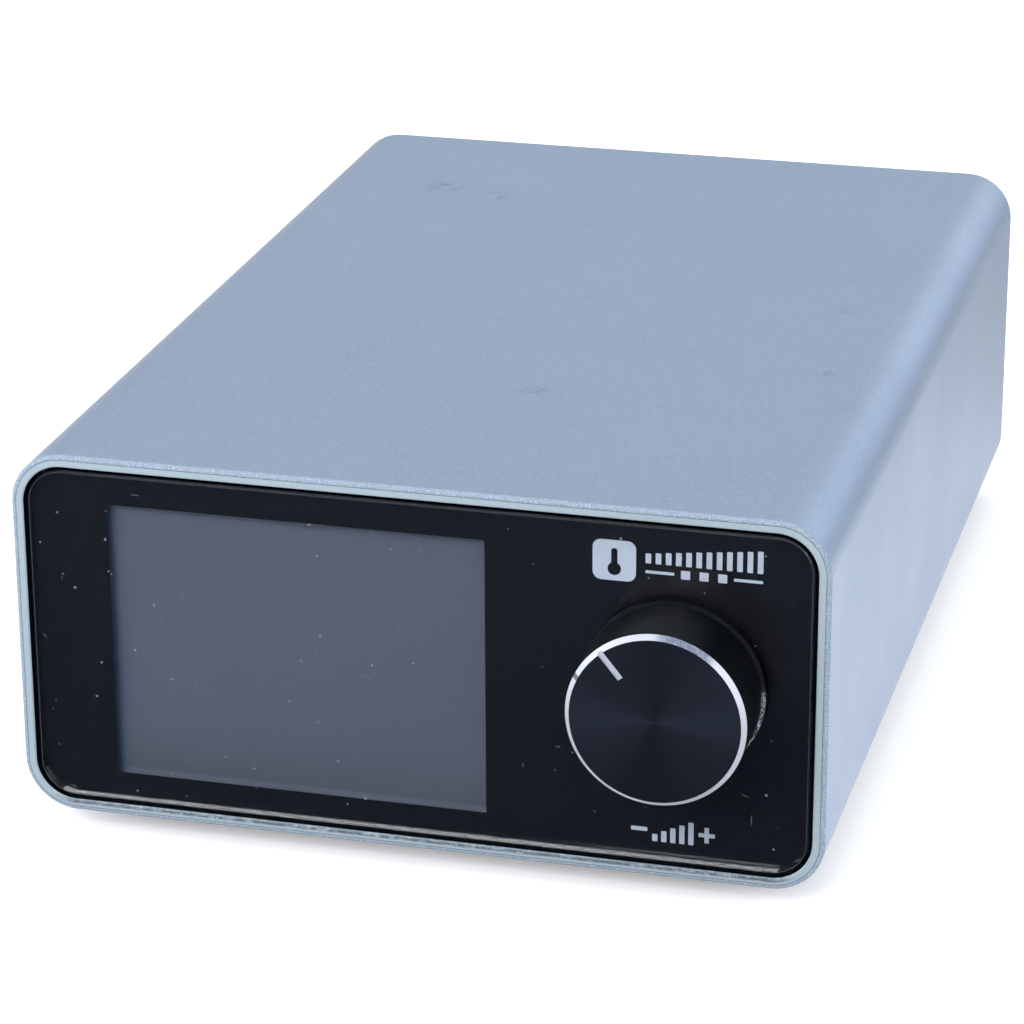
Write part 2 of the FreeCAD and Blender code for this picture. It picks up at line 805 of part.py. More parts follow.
def pan_screw(x, z, y_end):
    """A pan-head screw driven from behind, its shank ending at y_end."""
    shank = rod(x, z, screw_radius, y_end, panel_y + pan_head_height / 2)
    head = rod(x, z, pan_head_radius, panel_y, panel_y + pan_head_height)
    top = panel_y + pan_head_height
    head = bevel_edges(head, pan_head_bevel, lambda e: lies_at_y(e, top))
    slot = slab(x, cross_length, top - cross_depth, top + 1, z, cross_width)
    cross = slab(x, cross_width, top - cross_depth, top + 1, z, cross_length)
    return head.fuse(shank).cut(slot.fuse(cross))


def rear_screws():
    return group(pan_screw(x, z, panel_in_y - screw_bite) for x, z in corners())


def inlet_place(dx):
    return inlet_x + dx


def blades():
    """The three blades' middles, as (x, z): line, neutral and, set over, earth."""
    x = inlet_place(mains_x)
    half = blade_spacing / 2
    return [(x - blade_offset, mid_z + half), (x - blade_offset, mid_z - half), (x + blade_offset, mid_z)]


def inlet_back():
    return panel_y - inlet_depth


def inlet_pins():
    cavity_end = flange_y - mains_depth
    pins = []
    for x, z in blades():
        blade = slab(x, blade_width, inlet_back(), cavity_end + blade_length, z, blade_thickness)
        tip = cavity_end + blade_length
        blade = bevel_edges(blade, blade_bevel, lambda e: lies_at_y(e, tip) and along(e, V(1, 0, 0)))
        tab = slab(x, tab_width, inlet_back() - tab_length, inlet_back(), z, tab_thickness)
        pins.append(blade.fuse(tab).removeSplitter())
    return group(pins)


def switch_tabs():
    """The switch's two tabs, from its contacts through the back of the housing."""
    x = inlet_place(rocker_x)
    return group(slab(x, tab_width, inlet_back() - tab_length, inlet_back() + switch_tab_root,
                      mid_z + rise, tab_thickness) for rise in (-switch_tab_rise, switch_tab_rise))


def mains_cavity():
    """The plug's way in: a block with two corners cut off, as the plug has."""
    x = inlet_place(mains_x)
    hole = slab(x, mains_width, flange_y - mains_depth, flange_y + 1, mid_z, mains_height)
    far = x + mains_width / 2
    return bevel_edges(hole, mains_chamfer, lambda e: along(e, V(0, 1, 0)) and e.BoundBox.XMax > far - 1e-3)


def inlet_housing():
    body = slab(inlet_x, inlet_width, inlet_back(), panel_y + 1, mid_z, inlet_height)
    flange = rounded_slab(inlet_x, mid_z, inlet_width + 2 * flange_overlap,
                          inlet_height + 2 * flange_overlap, flange_radius, panel_y, flange_y)
    flange = bevel_edges(flange, flange_bevel, lambda e: lies_at_y(e, flange_y))
    housing = body.fuse(flange).removeSplitter()
    housing = housing.cut(mains_cavity())
    drawer_end = flange_y - drawer_depth - 2 * drawer_gap
    housing = housing.cut(slab(inlet_place(drawer_x), drawer_width + 2 * drawer_gap, drawer_end,
                               flange_y + 1, mid_z, drawer_height + 2 * drawer_gap))
    well_end = rocker_y - rocker_well
    housing = housing.cut(slab(inlet_place(rocker_x), rocker_width + 2 * rocker_gap, well_end,
                               flange_y + 1, mid_z, 2 * (rocker_radius + rocker_gap)))
    reach = rocker_width / 2 + rocker_pin_length + rocker_gap
    pin = Part.makeCylinder(rocker_pin_radius + running_gap, 2 * reach,
                            V(inlet_place(rocker_x) - reach, rocker_y, mid_z), V(1, 0, 0))
    return housing.cut(pin).cut(inlet_pins()).cut(switch_tabs())


def fuse_tray():
    """The drawer that pulls out with the fuse: a face with a finger notch, and a trough behind it."""
    x = inlet_place(drawer_x)
    back = flange_y - drawer_depth
    tray = slab(x, drawer_width, back, flange_y + drawer_face / 2, mid_z, drawer_height)
    trough_y0 = back + drawer_floor
    trough_y1 = flange_y - drawer_face
    hollow = slab(x, drawer_width - 2 * drawer_floor, trough_y0, trough_y1,
                  mid_z, drawer_height - 2 * drawer_floor)
    open_side = block(x, x + drawer_width, trough_y0, trough_y1,
                      mid_z - drawer_height / 2 + drawer_floor, mid_z + drawer_height / 2 - drawer_floor)
    notch = rod(x, mid_z - drawer_height / 2, drawer_notch, flange_y, flange_y + drawer_face)
    return tray.cut(hollow.fuse(open_side)).cut(notch)


def fuse_axis_y():
    return flange_y - drawer_depth + drawer_floor + fuse_radius


def fuse():
    """The cartridge fuse: two metal caps and the glass between them."""
    x = inlet_place(drawer_x)
    y = fuse_axis_y()
    half = fuse_length / 2
    glass = fuse_length - 2 * fuse_cap_length
    caps = [post(x, y, fuse_radius, mid_z - half, mid_z - half + fuse_cap_length),
            post(x, y, fuse_radius, mid_z + half - fuse_cap_length, mid_z + half)]
    return group(caps + [post(x, y, fuse_glass_radius, mid_z - glass / 2, mid_z + glass / 2)])


def power_rocker():
    """The switch's paddle, turned off its level place by the tilt: a drum with a shallow V face."""
    x = inlet_place(rocker_x)
    x0 = x - rocker_width / 2
    drum = Part.makeCylinder(rocker_radius, rocker_width, V(x0, rocker_y, mid_z), V(1, 0, 0))
    rise = rocker_radius * math.tan(math.radians(rocker_tilt))
    crown = rocker_y + rocker_crown
    outline = [V(x0, rocker_y - rocker_underside, mid_z - rocker_radius),
               V(x0, crown + rise, mid_z - rocker_radius), V(x0, crown, mid_z),
               V(x0, crown + rise, mid_z + rocker_radius),
               V(x0, rocker_y - rocker_underside, mid_z + rocker_radius)]
    face = Part.Face(Part.makePolygon(outline + outline[:1]))
    paddle = drum.common(face.extrude(V(rocker_width, 0, 0)))
    reach = rocker_width / 2 + rocker_pin_length
    pin = Part.makeCylinder(rocker_pin_radius, 2 * reach, V(x - reach, rocker_y, mid_z), V(1, 0, 0))
    paddle = paddle.fuse(pin)
    paddle.rotate(V(x, rocker_y, mid_z), V(1, 0, 0), rocker_tilt)
    return paddle


# ---- tool socket, earth jack and earth point -----------------------------------------------------------
def socket_mouth():
    return panel_y + socket_flange_thickness + socket_barrel


def socket_shell():
    back = panel_y - socket_tail
    mouth = socket_mouth()
    body = rod(socket_x, mid_z, socket_radius, back, mouth)
    body = bevel_edges(body, socket_bevel, lambda e: lies_at_y(e, mouth))
    flange = rod(socket_x, mid_z, socket_flange_radius, panel_y, panel_y + socket_flange_thickness)
    face = panel_y + socket_flange_thickness
    flange = bevel_edges(flange, socket_flange_bevel, lambda e: lies_at_y(e, face))
    body = body.fuse(flange)
    body = body.cut(rod(socket_x, mid_z, socket_bore, back - 1, mouth + 1))
    key = slab(socket_x, socket_key_width, mouth - socket_bore_depth, mouth - socket_key_set_back,
               mid_z + socket_bore, 2 * socket_key_height)
    return body.fuse(key.common(rod(socket_x, mid_z, socket_radius, back, mouth))).removeSplitter()


def socket_pin_places():
    marks = [math.radians(90 + 360 / socket_pin_count * (i + 0.5)) for i in range(socket_pin_count)]
    return [(socket_x + socket_pin_circle * math.cos(a), mid_z + socket_pin_circle * math.sin(a))
            for a in marks]


def socket_insert():
    front = socket_mouth() - socket_bore_depth
    disc = rod(socket_x, mid_z, socket_bore, panel_y - socket_tail, front)
    for x, z in socket_pin_places():
        disc = disc.cut(rod(x, z, socket_pin_radius, panel_y - socket_tail - 1, front + 1))
    return disc


def socket_pins():
    front = socket_mouth() - socket_bore_depth + socket_pin_length
    back = panel_y - socket_tail - socket_cup_length
    pins = []
    for x, z in socket_pin_places():
        pin = rod(x, z, socket_pin_radius, back, front)
        pins.append(bevel_edges(pin, socket_pin_bevel, lambda e: lies_at_y(e, front)))
    return group(pins)


def socket_nut():
    return nut(socket_x, mid_z, socket_nut_flats, socket_radius + screw_gap,
               panel_in_y - socket_nut_thickness, panel_in_y)


def jack_face():
    return panel_y + jack_flange_thickness


def jack_insulator():
    body = rod(jack_x, mid_z, jack_body_radius,
               panel_in_y - jack_nut_thickness - jack_nut_margin, jack_face())
    flange = rod(jack_x, mid_z, jack_flange_radius, panel_y, jack_face())
    flange = bevel_edges(flange, jack_flange_bevel, lambda e: lies_at_y(e, jack_face()))
    return body.fuse(flange).cut(rod(jack_x, mid_z, jack_tube_radius, panel_y - jack_depth, jack_face() + 1))


def jack_contact():
    """A metal sleeve that a 4 mm plug goes into, with a soldering tail."""
    back = jack_face() - jack_depth
    sleeve = rod(jack_x, mid_z, jack_tube_radius, back - jack_end, jack_face())
    sleeve = sleeve.cut(rod(jack_x, mid_z, jack_bore, back, jack_face() + 1))
    tail = rod(jack_x, mid_z, jack_bore / 2, back - jack_end - jack_tail, back - jack_end)
    return sleeve.fuse(tail)


def jack_nut():
    return nut(jack_x, mid_z, jack_nut_flats, jack_body_radius + screw_gap,
               panel_in_y - jack_nut_thickness, panel_in_y)


def earth_screw():
    return pan_screw(earth_x, mid_z + earth_z,
                     panel_in_y - earth_ring_thickness - earth_nut_thickness - earth_screw_end)


def earth_lug():
    z = mid_z + earth_z
    ring = tube(earth_x, z, earth_ring_radius, screw_clearance, panel_in_y - earth_ring_thickness, panel_in_y)
    half = lead_radius + earth_ring_thickness
    tongue = block(earth_x - half, earth_x + half, panel_in_y - earth_ring_thickness,
                   panel_in_y, z + screw_clearance + 0.4, earth_barrel_z())
    barrel = block(earth_x - half, earth_x + half, panel_in_y - 2 * half, panel_in_y,
                   earth_barrel_z() - earth_tail_length / 2, earth_barrel_z())
    return ring.fuse([tongue, barrel]).removeSplitter()


def earth_barrel_z():
    return mid_z + earth_z + earth_ring_radius + earth_tail_length


def earth_nut():
    seat = panel_in_y - earth_ring_thickness
    return nut(earth_x, mid_z + earth_z, earth_nut_flats, screw_radius + screw_gap,
               seat - earth_nut_thickness, seat)


# ---- power board ----------------------------------------------------------------------------------------
def power_board():
    """The supply's board, from one rail to the other."""
    bottom = floor_z + rail_height
    return block(-power_width / 2, power_width / 2, power_y, power_y + power_length,
                 bottom, bottom + board_thickness)


def on_power(x, y, width, length, height):
    """A block on the power board, its middle at x, and y from the board's front edge."""
    return block(x - width / 2, x + width / 2, power_y + y - length / 2, power_y + y + length / 2,
                 power_top_z, power_top_z + height)


def core_block(width, length, low, high):
    box = on_power(transformer_x, transformer_y, width, length, high - low)
    box.translate(V(0, 0, low))
    return box


def core_low():
    return bobbin_floor + (bobbin_height - bobbin_floor - core_height) / 2


def transformer_core():
    """Two ferrite E halves that meet inside the bobbin: an outer ring and a centre limb."""
    low = core_low() - winding_gap / 2
    high = low + core_height
    outer = core_block(core_width, core_length, low, high)
    window = core_block(core_width - 2 * core_limb, core_length - 2 * core_limb, low - 1, high + 1)
    limb = core_block(core_centre_limb, core_length, low, high)
    return outer.cut(window).fuse(limb).removeSplitter()


def bobbin_hole(grow):
    size = core_centre_limb + grow
    low = core_low() - grow / 2
    return core_block(size, core_length + 2, low, low + core_height + grow)


def transformer_winding():
    """The wound wire, wrapped round the bobbin's tube between its two cheeks."""
    width = core_width - 2 * core_limb - 2 * winding_gap
    length = core_length - 2 * core_limb - 2 * (winding_gap + bobbin_wall)
    coil = core_block(width, length, bobbin_floor + winding_gap, bobbin_height - winding_gap)
    coil = soften(coil, core_limb / 2, lambda e: along(e, V(0, 1, 0)))
    return coil.cut(bobbin_hole(2 * (winding_gap + bobbin_wall)))


def transformer_bobbin():
    """The moulded bobbin: a foot on the board, two cheeks and the tube that the wire is wound on."""
    width = core_width - 2 * core_limb - 2 * winding_gap
    span = core_length - 2 * core_limb - 2 * winding_gap
    tube_wall = 2 * (winding_gap + bobbin_wall) - 2 * winding_gap
    body = core_block(width, span, 0, bobbin_height)
    body = body.cut(core_block(width + 2, span - 2 * bobbin_wall, bobbin_floor, bobbin_height + 1))
    body = body.fuse(bobbin_hole(tube_wall).common(core_block(width, span, 0, bobbin_height)))
    body = body.fuse(core_block(core_width, core_length, 0, bobbin_floor))
    return body.cut(bobbin_hole(winding_gap)).removeSplitter()


def bulk_capacitors():
    cans = []
    for x, y, radius, height in capacitor_places:
        can = post(x, power_y + y, radius, power_top_z, power_top_z + height)
        top = power_top_z + height
        cans.append(bevel_edges(can, radius / 10, lambda e: e.BoundBox.ZMin > top - 0.1))
    return group(cans)


def mains_filter():
    """The supply's input filter: a wound ring lying on the board, and two film capacitors."""
    x, y = choke_place
    reach = choke_winding / math.cos(math.pi / choke_sides)
    marks = [math.pi * (2 * i + 1) / choke_sides for i in range(choke_sides)]
    section = [V(x + choke_radius + reach * math.cos(a), power_y + y,
                 power_top_z + choke_winding + reach * math.sin(a)) for a in marks]
    face = Part.Face(Part.makePolygon(section + section[:1]))
    ring = face.revolve(V(x, power_y + y, 0), V(0, 0, 1), 360)
    films = [soften(on_power(*place), film_edge, lambda e: along(e, V(0, 0, 1))) for place in film_places]
    return group([ring] + films)


def heatsink(x, y, length, side):
    """An upright plate with fins on the side away from the board's middle."""
    plate = on_power(x, y, sink_thickness, length, sink_height)
    middle = side * (sink_thickness + sink_fin) / 2
    pitch = length / sink_fin_count
    starts = [(i - (sink_fin_count - 1) / 2) * pitch for i in range(sink_fin_count)]
    fins = [on_power(x + middle, y + start, sink_fin, sink_fin_thickness, sink_height)
            for start in starts]
    return plate.fuse(fins).removeSplitter()


def power_heatsinks():
    return group(heatsink(*place) for place in sink_places)


def power_transistors():
    reach = (sink_thickness + transistor_thickness) / 2
    return group(on_power(x + side * reach, y, transistor_thickness, transistor_width, transistor_height)
                 for x, y, side in transistor_places)


def terminal_poles(x, count):
    return [x + (i - (count - 1) / 2) * terminal_pitch for i in range(count)]


def power_terminals():
    bodies = []
    for x, y, count in (input_terminal, output_terminal):
        body = on_power(x, y, count * terminal_pitch, terminal_depth, terminal_height)
        top = power_top_z + terminal_height
        for pole in terminal_poles(x, count):
            hole = post(pole, power_y + y, terminal_screw_radius, top - terminal_screw_depth, top + 1)
            body = body.cut(hole)
        bodies.append(body)
    return group(bodies)


def insulation_sheet():
    """Fish paper under the power board, folded up at its sides and clear of the screw channels."""
    side = case_width / 2 - wall - channel_inset - channel_radius - sheet_margin
    top = floor_z + rail_height - sheet_margin
    sheet = block(-side, side, power_y, power_y + power_length, floor_z, floor_z + sheet_thickness)
    for s in (-1, 1):
        x0, x1 = sorted((s * side, s * (side - sheet_thickness)))
        sheet = sheet.fuse(block(x0, x1, power_y, power_y + power_length, floor_z, top))
    return sheet.removeSplitter()


# ---- leads -----------------------------------------------------------------------------------------------
def lead(points, radius, name):
    """A round lead along straight runs joined by tangent arcs, each as large as its runs allow."""
    knots = [V(*p) for p in points]
    edges = []
    start = knots[0]
    radii = []
    for before, corner, after in zip(knots, knots[1:], knots[2:]):
        into = corner - before
        out = after - corner
        turn = into.getAngle(out)
        cut = 0.45 * min(into.Length, out.Length)
        bend = cut / math.tan(turn / 2)
        radii.append(round(bend, 1))
        a = corner - into.normalize() * cut
        b = corner + out.normalize() * cut
        way = (a - corner).normalize() + (b - corner).normalize()
        distance = bend / math.cos(turn / 2) - bend
        middle = corner + way.normalize() * distance
        edges.append(Part.LineSegment(start, a).toShape())
        edges.append(Part.Arc(a, middle, b).toShape())
        start = b
    edges.append(Part.LineSegment(start, knots[-1]).toShape())
    path = Part.Wire(edges)
    first = (knots[1] - knots[0]).normalize()
    ring = Part.Wire(Part.makeCircle(radius, knots[0], first))
    solid = path.makePipeShell([ring], True, False)
    share = solid.Volume / (math.pi * radius ** 2 * path.Length)
    print(f"{name}: bends {radii} mm, length {path.Length:.0f} mm, volume share {share:.3f}")
    return solid


def plug_end(header, dx):
    x, z, _ = header
    return x + dx, channel_y + plug_reach, mid_z + z


def terminal_end(terminal, pole, toward):
    """A pole's wire entry on the terminal's front (-1) or rear (+1) face."""
    x, y, count = terminal
    return (terminal_poles(x, count)[pole], power_y + y + toward * terminal_depth / 2,
            power_top_z + terminal_lead_height)


def mains_leads():
    """Line and neutral, from the switch's tabs to the supply's input terminal."""
    x = inlet_place(rocker_x)
    y = inlet_back() - tab_length
    leads = []
    for way, pole, run, name in ((1, 2, 13.0, "line lead"), (-1, 1, 9.5, "neutral lead")):
        rise = way * switch_tab_rise
        ex, ey, ez = terminal_end(input_terminal, pole, 1)
        route = [(x, y, mid_z + rise), (x, y - 9.5, mid_z + rise), (ex, ey + run, ez), (ex, ey, ez)]
        leads.append(lead(route, lead_radius, name))
    return group(leads)


def output_leads():
    """Two leads from the supply's output terminal to the control board."""
    leads = []
    for pole, dx, run in ((0, -1.8, 7.0), (1, 1.8, 9.0)):
        sx, sy, sz = terminal_end(output_terminal, pole, -1)
        ex, ey, ez = plug_end(supply_header, dx)
        route = [(sx, sy, sz), (sx, sy - 16.0 + run, sz), (ex, ey + run - 2.0, ez), (ex, ey, ez)]
        leads.append(lead(route, thin_lead_radius, "output lead"))
    return group(leads)


def tool_cable():
    """The screened cable from the tool socket, over the power board, to the control board."""
    sy = panel_y - socket_tail - socket_cup_length
    ex, ey, ez = plug_end(tool_header, 0)
    high = mid_z + tool_cable_rise
    route = [(socket_x, sy, mid_z), (socket_x, sy - 14, mid_z), (socket_x - 2, sy - 33, high),
             (ex + 2, ey + 27, high), (ex, ey + 11, ez), (ex, ey, ez)]
    return lead(route, tool_cable_radius, "tool cable")


def encoder_lead():
    """The lead that loops from the encoder's small board to its plug."""
    x = knob_x - encoder_width / 2
    z = knob_z_abs + encoder_height / 3
    y = channel_y + encoder_thickness + encoder_board_thickness
    ex, ey, ez = plug_end(encoder_header, 0)
    route = [(x, y, z), (x, y + 8, z), (ex, ey + 7, ez), (ex, ey, ez)]
    return lead(route, lead_radius, "encoder lead")


def earth_lead():
    """The earth lead, from the inlet's middle tab over the housing to the earth lug."""
    tab_x, tab_z = blades()[2]
    tab_y = inlet_back() - tab_length
    start_y = panel_in_y - lead_radius - earth_ring_thickness
    high = mid_z + inlet_height / 2 + 3.5
    route = [(earth_x, start_y, earth_barrel_z()), (earth_x, start_y, high - 4),
             (earth_x, tab_y - 8, high), (tab_x, tab_y - 10, tab_z), (tab_x, tab_y, tab_z)]
    return lead(route, lead_radius, "earth lead")


def jack_lead():
    """The lead from the earth jack's tail down to the power board."""
    y = jack_face() - jack_depth - jack_end - jack_tail
    x = jack_x + 0.5
    board_y = power_y + power_length - 4
    route = [(jack_x, y, mid_z), (jack_x, y - 17, mid_z), (x, board_y, mid_z + 3),
             (x, board_y, power_top_z)]
    return lead(route, thin_lead_radius, "jack lead")


def build():
    """Every piece, by the name of its node."""
    nodes = {
        "case_tube": case_tube(),
        "front_glass": front_glass(),
        "mask_film": mask_film(),
        "glass_tape": glass_tape(),
        "bezel_frame": bezel_frame(),
        "front_screws": front_screws(),
        "lcd_panel": lcd_panel(),
        "lcd_backlight": lcd_backlight(),
        "lcd_ribbon": lcd_ribbon(),
        "control_board": control_board(),
        "control_chips": control_chips(),
        "board_connectors": board_connectors(),
        "lead_plugs": lead_plugs(),
        "buzzer": buzzer(),
        "encoder_body": encoder_body(),
        "encoder_bushing": encoder_bushing(),
        "encoder_washer": encoder_washer(),
        "encoder_nut": encoder_nut(),
        "encoder_board": encoder_board(),
        "encoder_plunger": encoder_plunger(),
        "encoder_shaft": encoder_shaft(),
        "knob": knob(),
        "knob_grub_screw": knob_grub_screw(),
        "rear_panel": rear_panel(),
        "rear_screws": rear_screws(),
        "inlet_housing": inlet_housing(),
        "inlet_pins": inlet_pins(),
        "switch_tabs": switch_tabs(),
        "fuse_drawer": fuse_tray(),
        "fuse": fuse(),
        "power_rocker": power_rocker(),
        "socket_shell": socket_shell(),
        "socket_insert": socket_insert(),
        "socket_pins": socket_pins(),
        "socket_nut": socket_nut(),
        "jack_insulator": jack_insulator(),
        "jack_contact": jack_contact(),
        "jack_nut": jack_nut(),
        "earth_screw": earth_screw(),
        "earth_lug": earth_lug(),
        "earth_nut": earth_nut(),
        "power_board": power_board(),
        "transformer_core": transformer_core(),
        "transformer_winding": transformer_winding(),
        "transformer_bobbin": transformer_bobbin(),
        "bulk_capacitors": bulk_capacitors(),
        "mains_filter": mains_filter(),
        "power_heatsinks": power_heatsinks(),
        "power_transistors": power_transistors(),
        "power_terminals": power_terminals(),
        "insulation_sheet": insulation_sheet(),
        "mains_leads": mains_leads(),
        "output_leads": output_leads(),
        "tool_cable": tool_cable(),
        "encoder_lead": encoder_lead(),
        "earth_leads": group([earth_lead(), jack_lead()]),
    }
    for side, side_name in ((-1, "left"), (1, "right")):
        for front, end_name in ((True, "front"), (False, "rear")):
            nodes[f"foot_{end_name}_{side_name}"] = foot(side, front)
    return nodes


os.makedirs("parts", exist_ok=True)
for node_name, shape in build().items():
    shape.exportStep(f"parts/{node_name}.step")
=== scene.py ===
import bpy
import bmesh
import json
import math
import random
from mathutils import Matrix, Vector


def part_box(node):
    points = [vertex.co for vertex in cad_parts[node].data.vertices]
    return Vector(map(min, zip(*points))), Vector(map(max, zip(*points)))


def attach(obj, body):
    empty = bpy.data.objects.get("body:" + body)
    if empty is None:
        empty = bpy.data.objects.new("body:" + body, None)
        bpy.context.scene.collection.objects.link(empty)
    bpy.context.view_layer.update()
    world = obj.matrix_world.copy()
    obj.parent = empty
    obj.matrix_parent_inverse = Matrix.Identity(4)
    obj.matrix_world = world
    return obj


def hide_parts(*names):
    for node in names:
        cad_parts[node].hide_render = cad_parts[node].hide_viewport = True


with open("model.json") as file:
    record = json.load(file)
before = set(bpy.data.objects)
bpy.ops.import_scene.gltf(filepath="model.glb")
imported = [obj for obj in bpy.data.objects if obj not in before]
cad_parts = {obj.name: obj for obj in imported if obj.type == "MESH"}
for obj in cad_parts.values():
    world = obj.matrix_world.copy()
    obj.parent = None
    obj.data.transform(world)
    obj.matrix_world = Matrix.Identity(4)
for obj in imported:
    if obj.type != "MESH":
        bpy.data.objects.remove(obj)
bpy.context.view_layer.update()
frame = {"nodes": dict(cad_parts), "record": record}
nodes = frame["nodes"]
scene = bpy.context.scene
mm = 0.001
print("frame loaded:", len(nodes), "nodes")

# places that the pieces and the patterns are set out from
caseLow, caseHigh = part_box("case_tube")
glassLow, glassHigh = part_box("front_glass")
maskLow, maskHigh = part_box("mask_film")
knobLow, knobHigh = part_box("knob")
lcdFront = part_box("lcd_panel")[0].y
caseMid = (caseLow + caseHigh) / 2
knobMid = (knobLow + knobHigh) / 2
rimY = caseLow.y


# small helpers for node trees

def newNode(tree, kind, **settings):
    node = tree.nodes.new(kind)
    for name, value in settings.items():
        setattr(node, name, value)
    return node


def setInput(tree, node, name, value):
    # a value is a plain number or colour, or an output socket to link from
    if isinstance(value, bpy.types.NodeSocket):
        tree.links.new(value, node.inputs[name])
    else:
        node.inputs[name].default_value = value


def maths(tree, operation, a, b=0.0, c=0.0, clamp=False):
    node = newNode(tree, "ShaderNodeMath", operation=operation, use_clamp=clamp)
    for i, value in enumerate((a, b, c)):
        setInput(tree, node, i, value)
    return node.outputs[0]


def mapRange(tree, value, low, high, outLow=0.0, outHigh=1.0, smooth=True):
    node = newNode(tree, "ShaderNodeMapRange")
    node.interpolation_type = "SMOOTHSTEP" if smooth else "LINEAR"
    ends = {"Value": value, "From Min": low, "From Max": high, "To Min": outLow, "To Max": outHigh}
    for name, setting in ends.items():
        setInput(tree, node, name, setting)
    return node.outputs["Result"]


def mixColour(tree, factor, a, b, blend="MIX"):
    node = newNode(tree, "ShaderNodeMix", data_type="RGBA", blend_type=blend)
    setInput(tree, node, 0, factor)
    setInput(tree, node, 6, a)
    setInput(tree, node, 7, b)
    return node.outputs[2]


def partMix(tree, mask, share, a, b):
    # a mix whose mask is taken to a share of its strength
    return mixColour(tree, maths(tree, "MULTIPLY", mask, share), a, b)


def mixValue(tree, factor, a, b):
    node = newNode(tree, "ShaderNodeMix", data_type="FLOAT")
    setInput(tree, node, 0, factor)
    setInput(tree, node, 2, a)
    setInput(tree, node, 3, b)
    return node.outputs[0]


def noise(tree, vector, scale, detail=3.0, rough=0.5):
    node = newNode(tree, "ShaderNodeTexNoise")
    setInput(tree, node, "Vector", vector)
    setInput(tree, node, "Scale", scale)
    setInput(tree, node, "Detail", detail)
    setInput(tree, node, "Roughness", rough)
    return node.outputs["Fac"]


def objectCoords(tree, centre=(0, 0, 0), scale=(1, 1, 1)):
    # object coordinates with their zero moved to centre, then scaled
    coords = newNode(tree, "ShaderNodeTexCoord").outputs["Object"]
    mapping = newNode(tree, "ShaderNodeMapping", vector_type="POINT")
    tree.links.new(coords, mapping.inputs["Vector"])
    mapping.inputs["Location"].default_value = [-c * s for c, s in zip(centre, scale)]
    mapping.inputs["Scale"].default_value = scale
    return mapping.outputs["Vector"]


def split(tree, vector):
    node = newNode(tree, "ShaderNodeSeparateXYZ")
    tree.links.new(vector, node.inputs[0])
    return node.outputs


def squareSum(tree, a, b):
    return maths(tree, "ADD", maths(tree, "MULTIPLY", a, a), maths(tree, "MULTIPLY", b, b))


def rgb(colour):
    # eight-bit display values to the linear values that shaders work in
    linear = [c / 255 / 12.92 if c / 255 <= 0.04045 else ((c / 255 + 0.055) / 1.055) ** 2.4 for c in colour]
    return (*linear, 1.0)


# small helpers for pieces

def newPiece(name, mesh, body, material, replaced=(), sharpAngle=35.0):
    # recalculated, smooth except at its edges, and riding on a CAD body
    bmesh.ops.recalc_face_normals(mesh, faces=mesh.faces[:])
    data = bpy.data.meshes.new(name)
    mesh.to_mesh(data)
    mesh.free()
    data.polygons.foreach_set("use_smooth", [True] * len(data.polygons))
    data.set_sharp_from_angle(angle=math.radians(sharpAngle))
    data.materials.append(material)
    piece = bpy.data.objects.new(name, data)
    scene.collection.objects.link(piece)
    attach(piece, body)
    if replaced:
        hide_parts(*replaced)
    return piece


def facing(x, y, z, turn=0.0):
    # a flat shape made in X and Y stands upright here, facing the front, turned about the axis along Y
    place = Matrix.Translation((x, y, z)) @ Matrix.Rotation(turn, 4, "Y")
    return place @ Matrix.Rotation(math.pi / 2, 4, "X")


def ringEdges(mesh, made):
    # each edge once, in the same order every run
    return list(dict.fromkeys(edge for vert in made["verts"] for edge in vert.link_edges))


def roundedOutline(mesh, x, y, z, width, height, radius, steps=8):
    # a circle whose quarters are moved apart into a rectangle with round corners
    half = math.pi / (4 * steps)
    made = bmesh.ops.create_circle(mesh, segments=4 * steps, radius=radius, matrix=facing(x, y, z, half))
    for vert in made["verts"]:
        vert.co.x += math.copysign(width / 2 - radius, vert.co.x - x)
        vert.co.z += math.copysign(height / 2 - radius, vert.co.z - z)
    return ringEdges(mesh, made)


def circleOutline(mesh, x, y, z, radius, segments=48):
    made = bmesh.ops.create_circle(mesh, segments=segments, radius=radius, matrix=facing(x, y, z))
    return ringEdges(mesh, made)


def fillAndThicken(mesh, edges, depth):
    # fills the outlines, leaving those inside as holes, and gives the sheet its thickness along Y
    filled = bmesh.ops.triangle_fill(
        mesh, use_beauty=True, use_dissolve=False, edges=edges, normal=(0, -1, 0))
    faces = [part for part in filled["geom"] if isinstance(part, bmesh.types.BMFace)]
    grown = bmesh.ops.extrude_face_region(mesh, geom=faces, use_keep_orig=True)
    moved = [part for part in grown["geom"] if isinstance(part, bmesh.types.BMVert)]
    bmesh.ops.translate(mesh, vec=(0, depth, 0), verts=moved)


# effects that several materials share

def makeGroup(name, inputs, outputs):
    tree = bpy.data.node_groups.new(name, "ShaderNodeTree")
    for socketName, kind, default in inputs:
        socket = tree.interface.new_socket(socketName, in_out="INPUT", socket_type="NodeSocket" + kind)
        if default is not None:
            socket.default_value = default
    for socketName, kind in outputs:
        tree.interface.new_socket(socketName, in_out="OUTPUT", socket_type="NodeSocket" + kind)
    start = newNode(tree, "NodeGroupInput")
    end = newNode(tree, "NodeGroupOutput")
    return tree, start.outputs, end.inputs


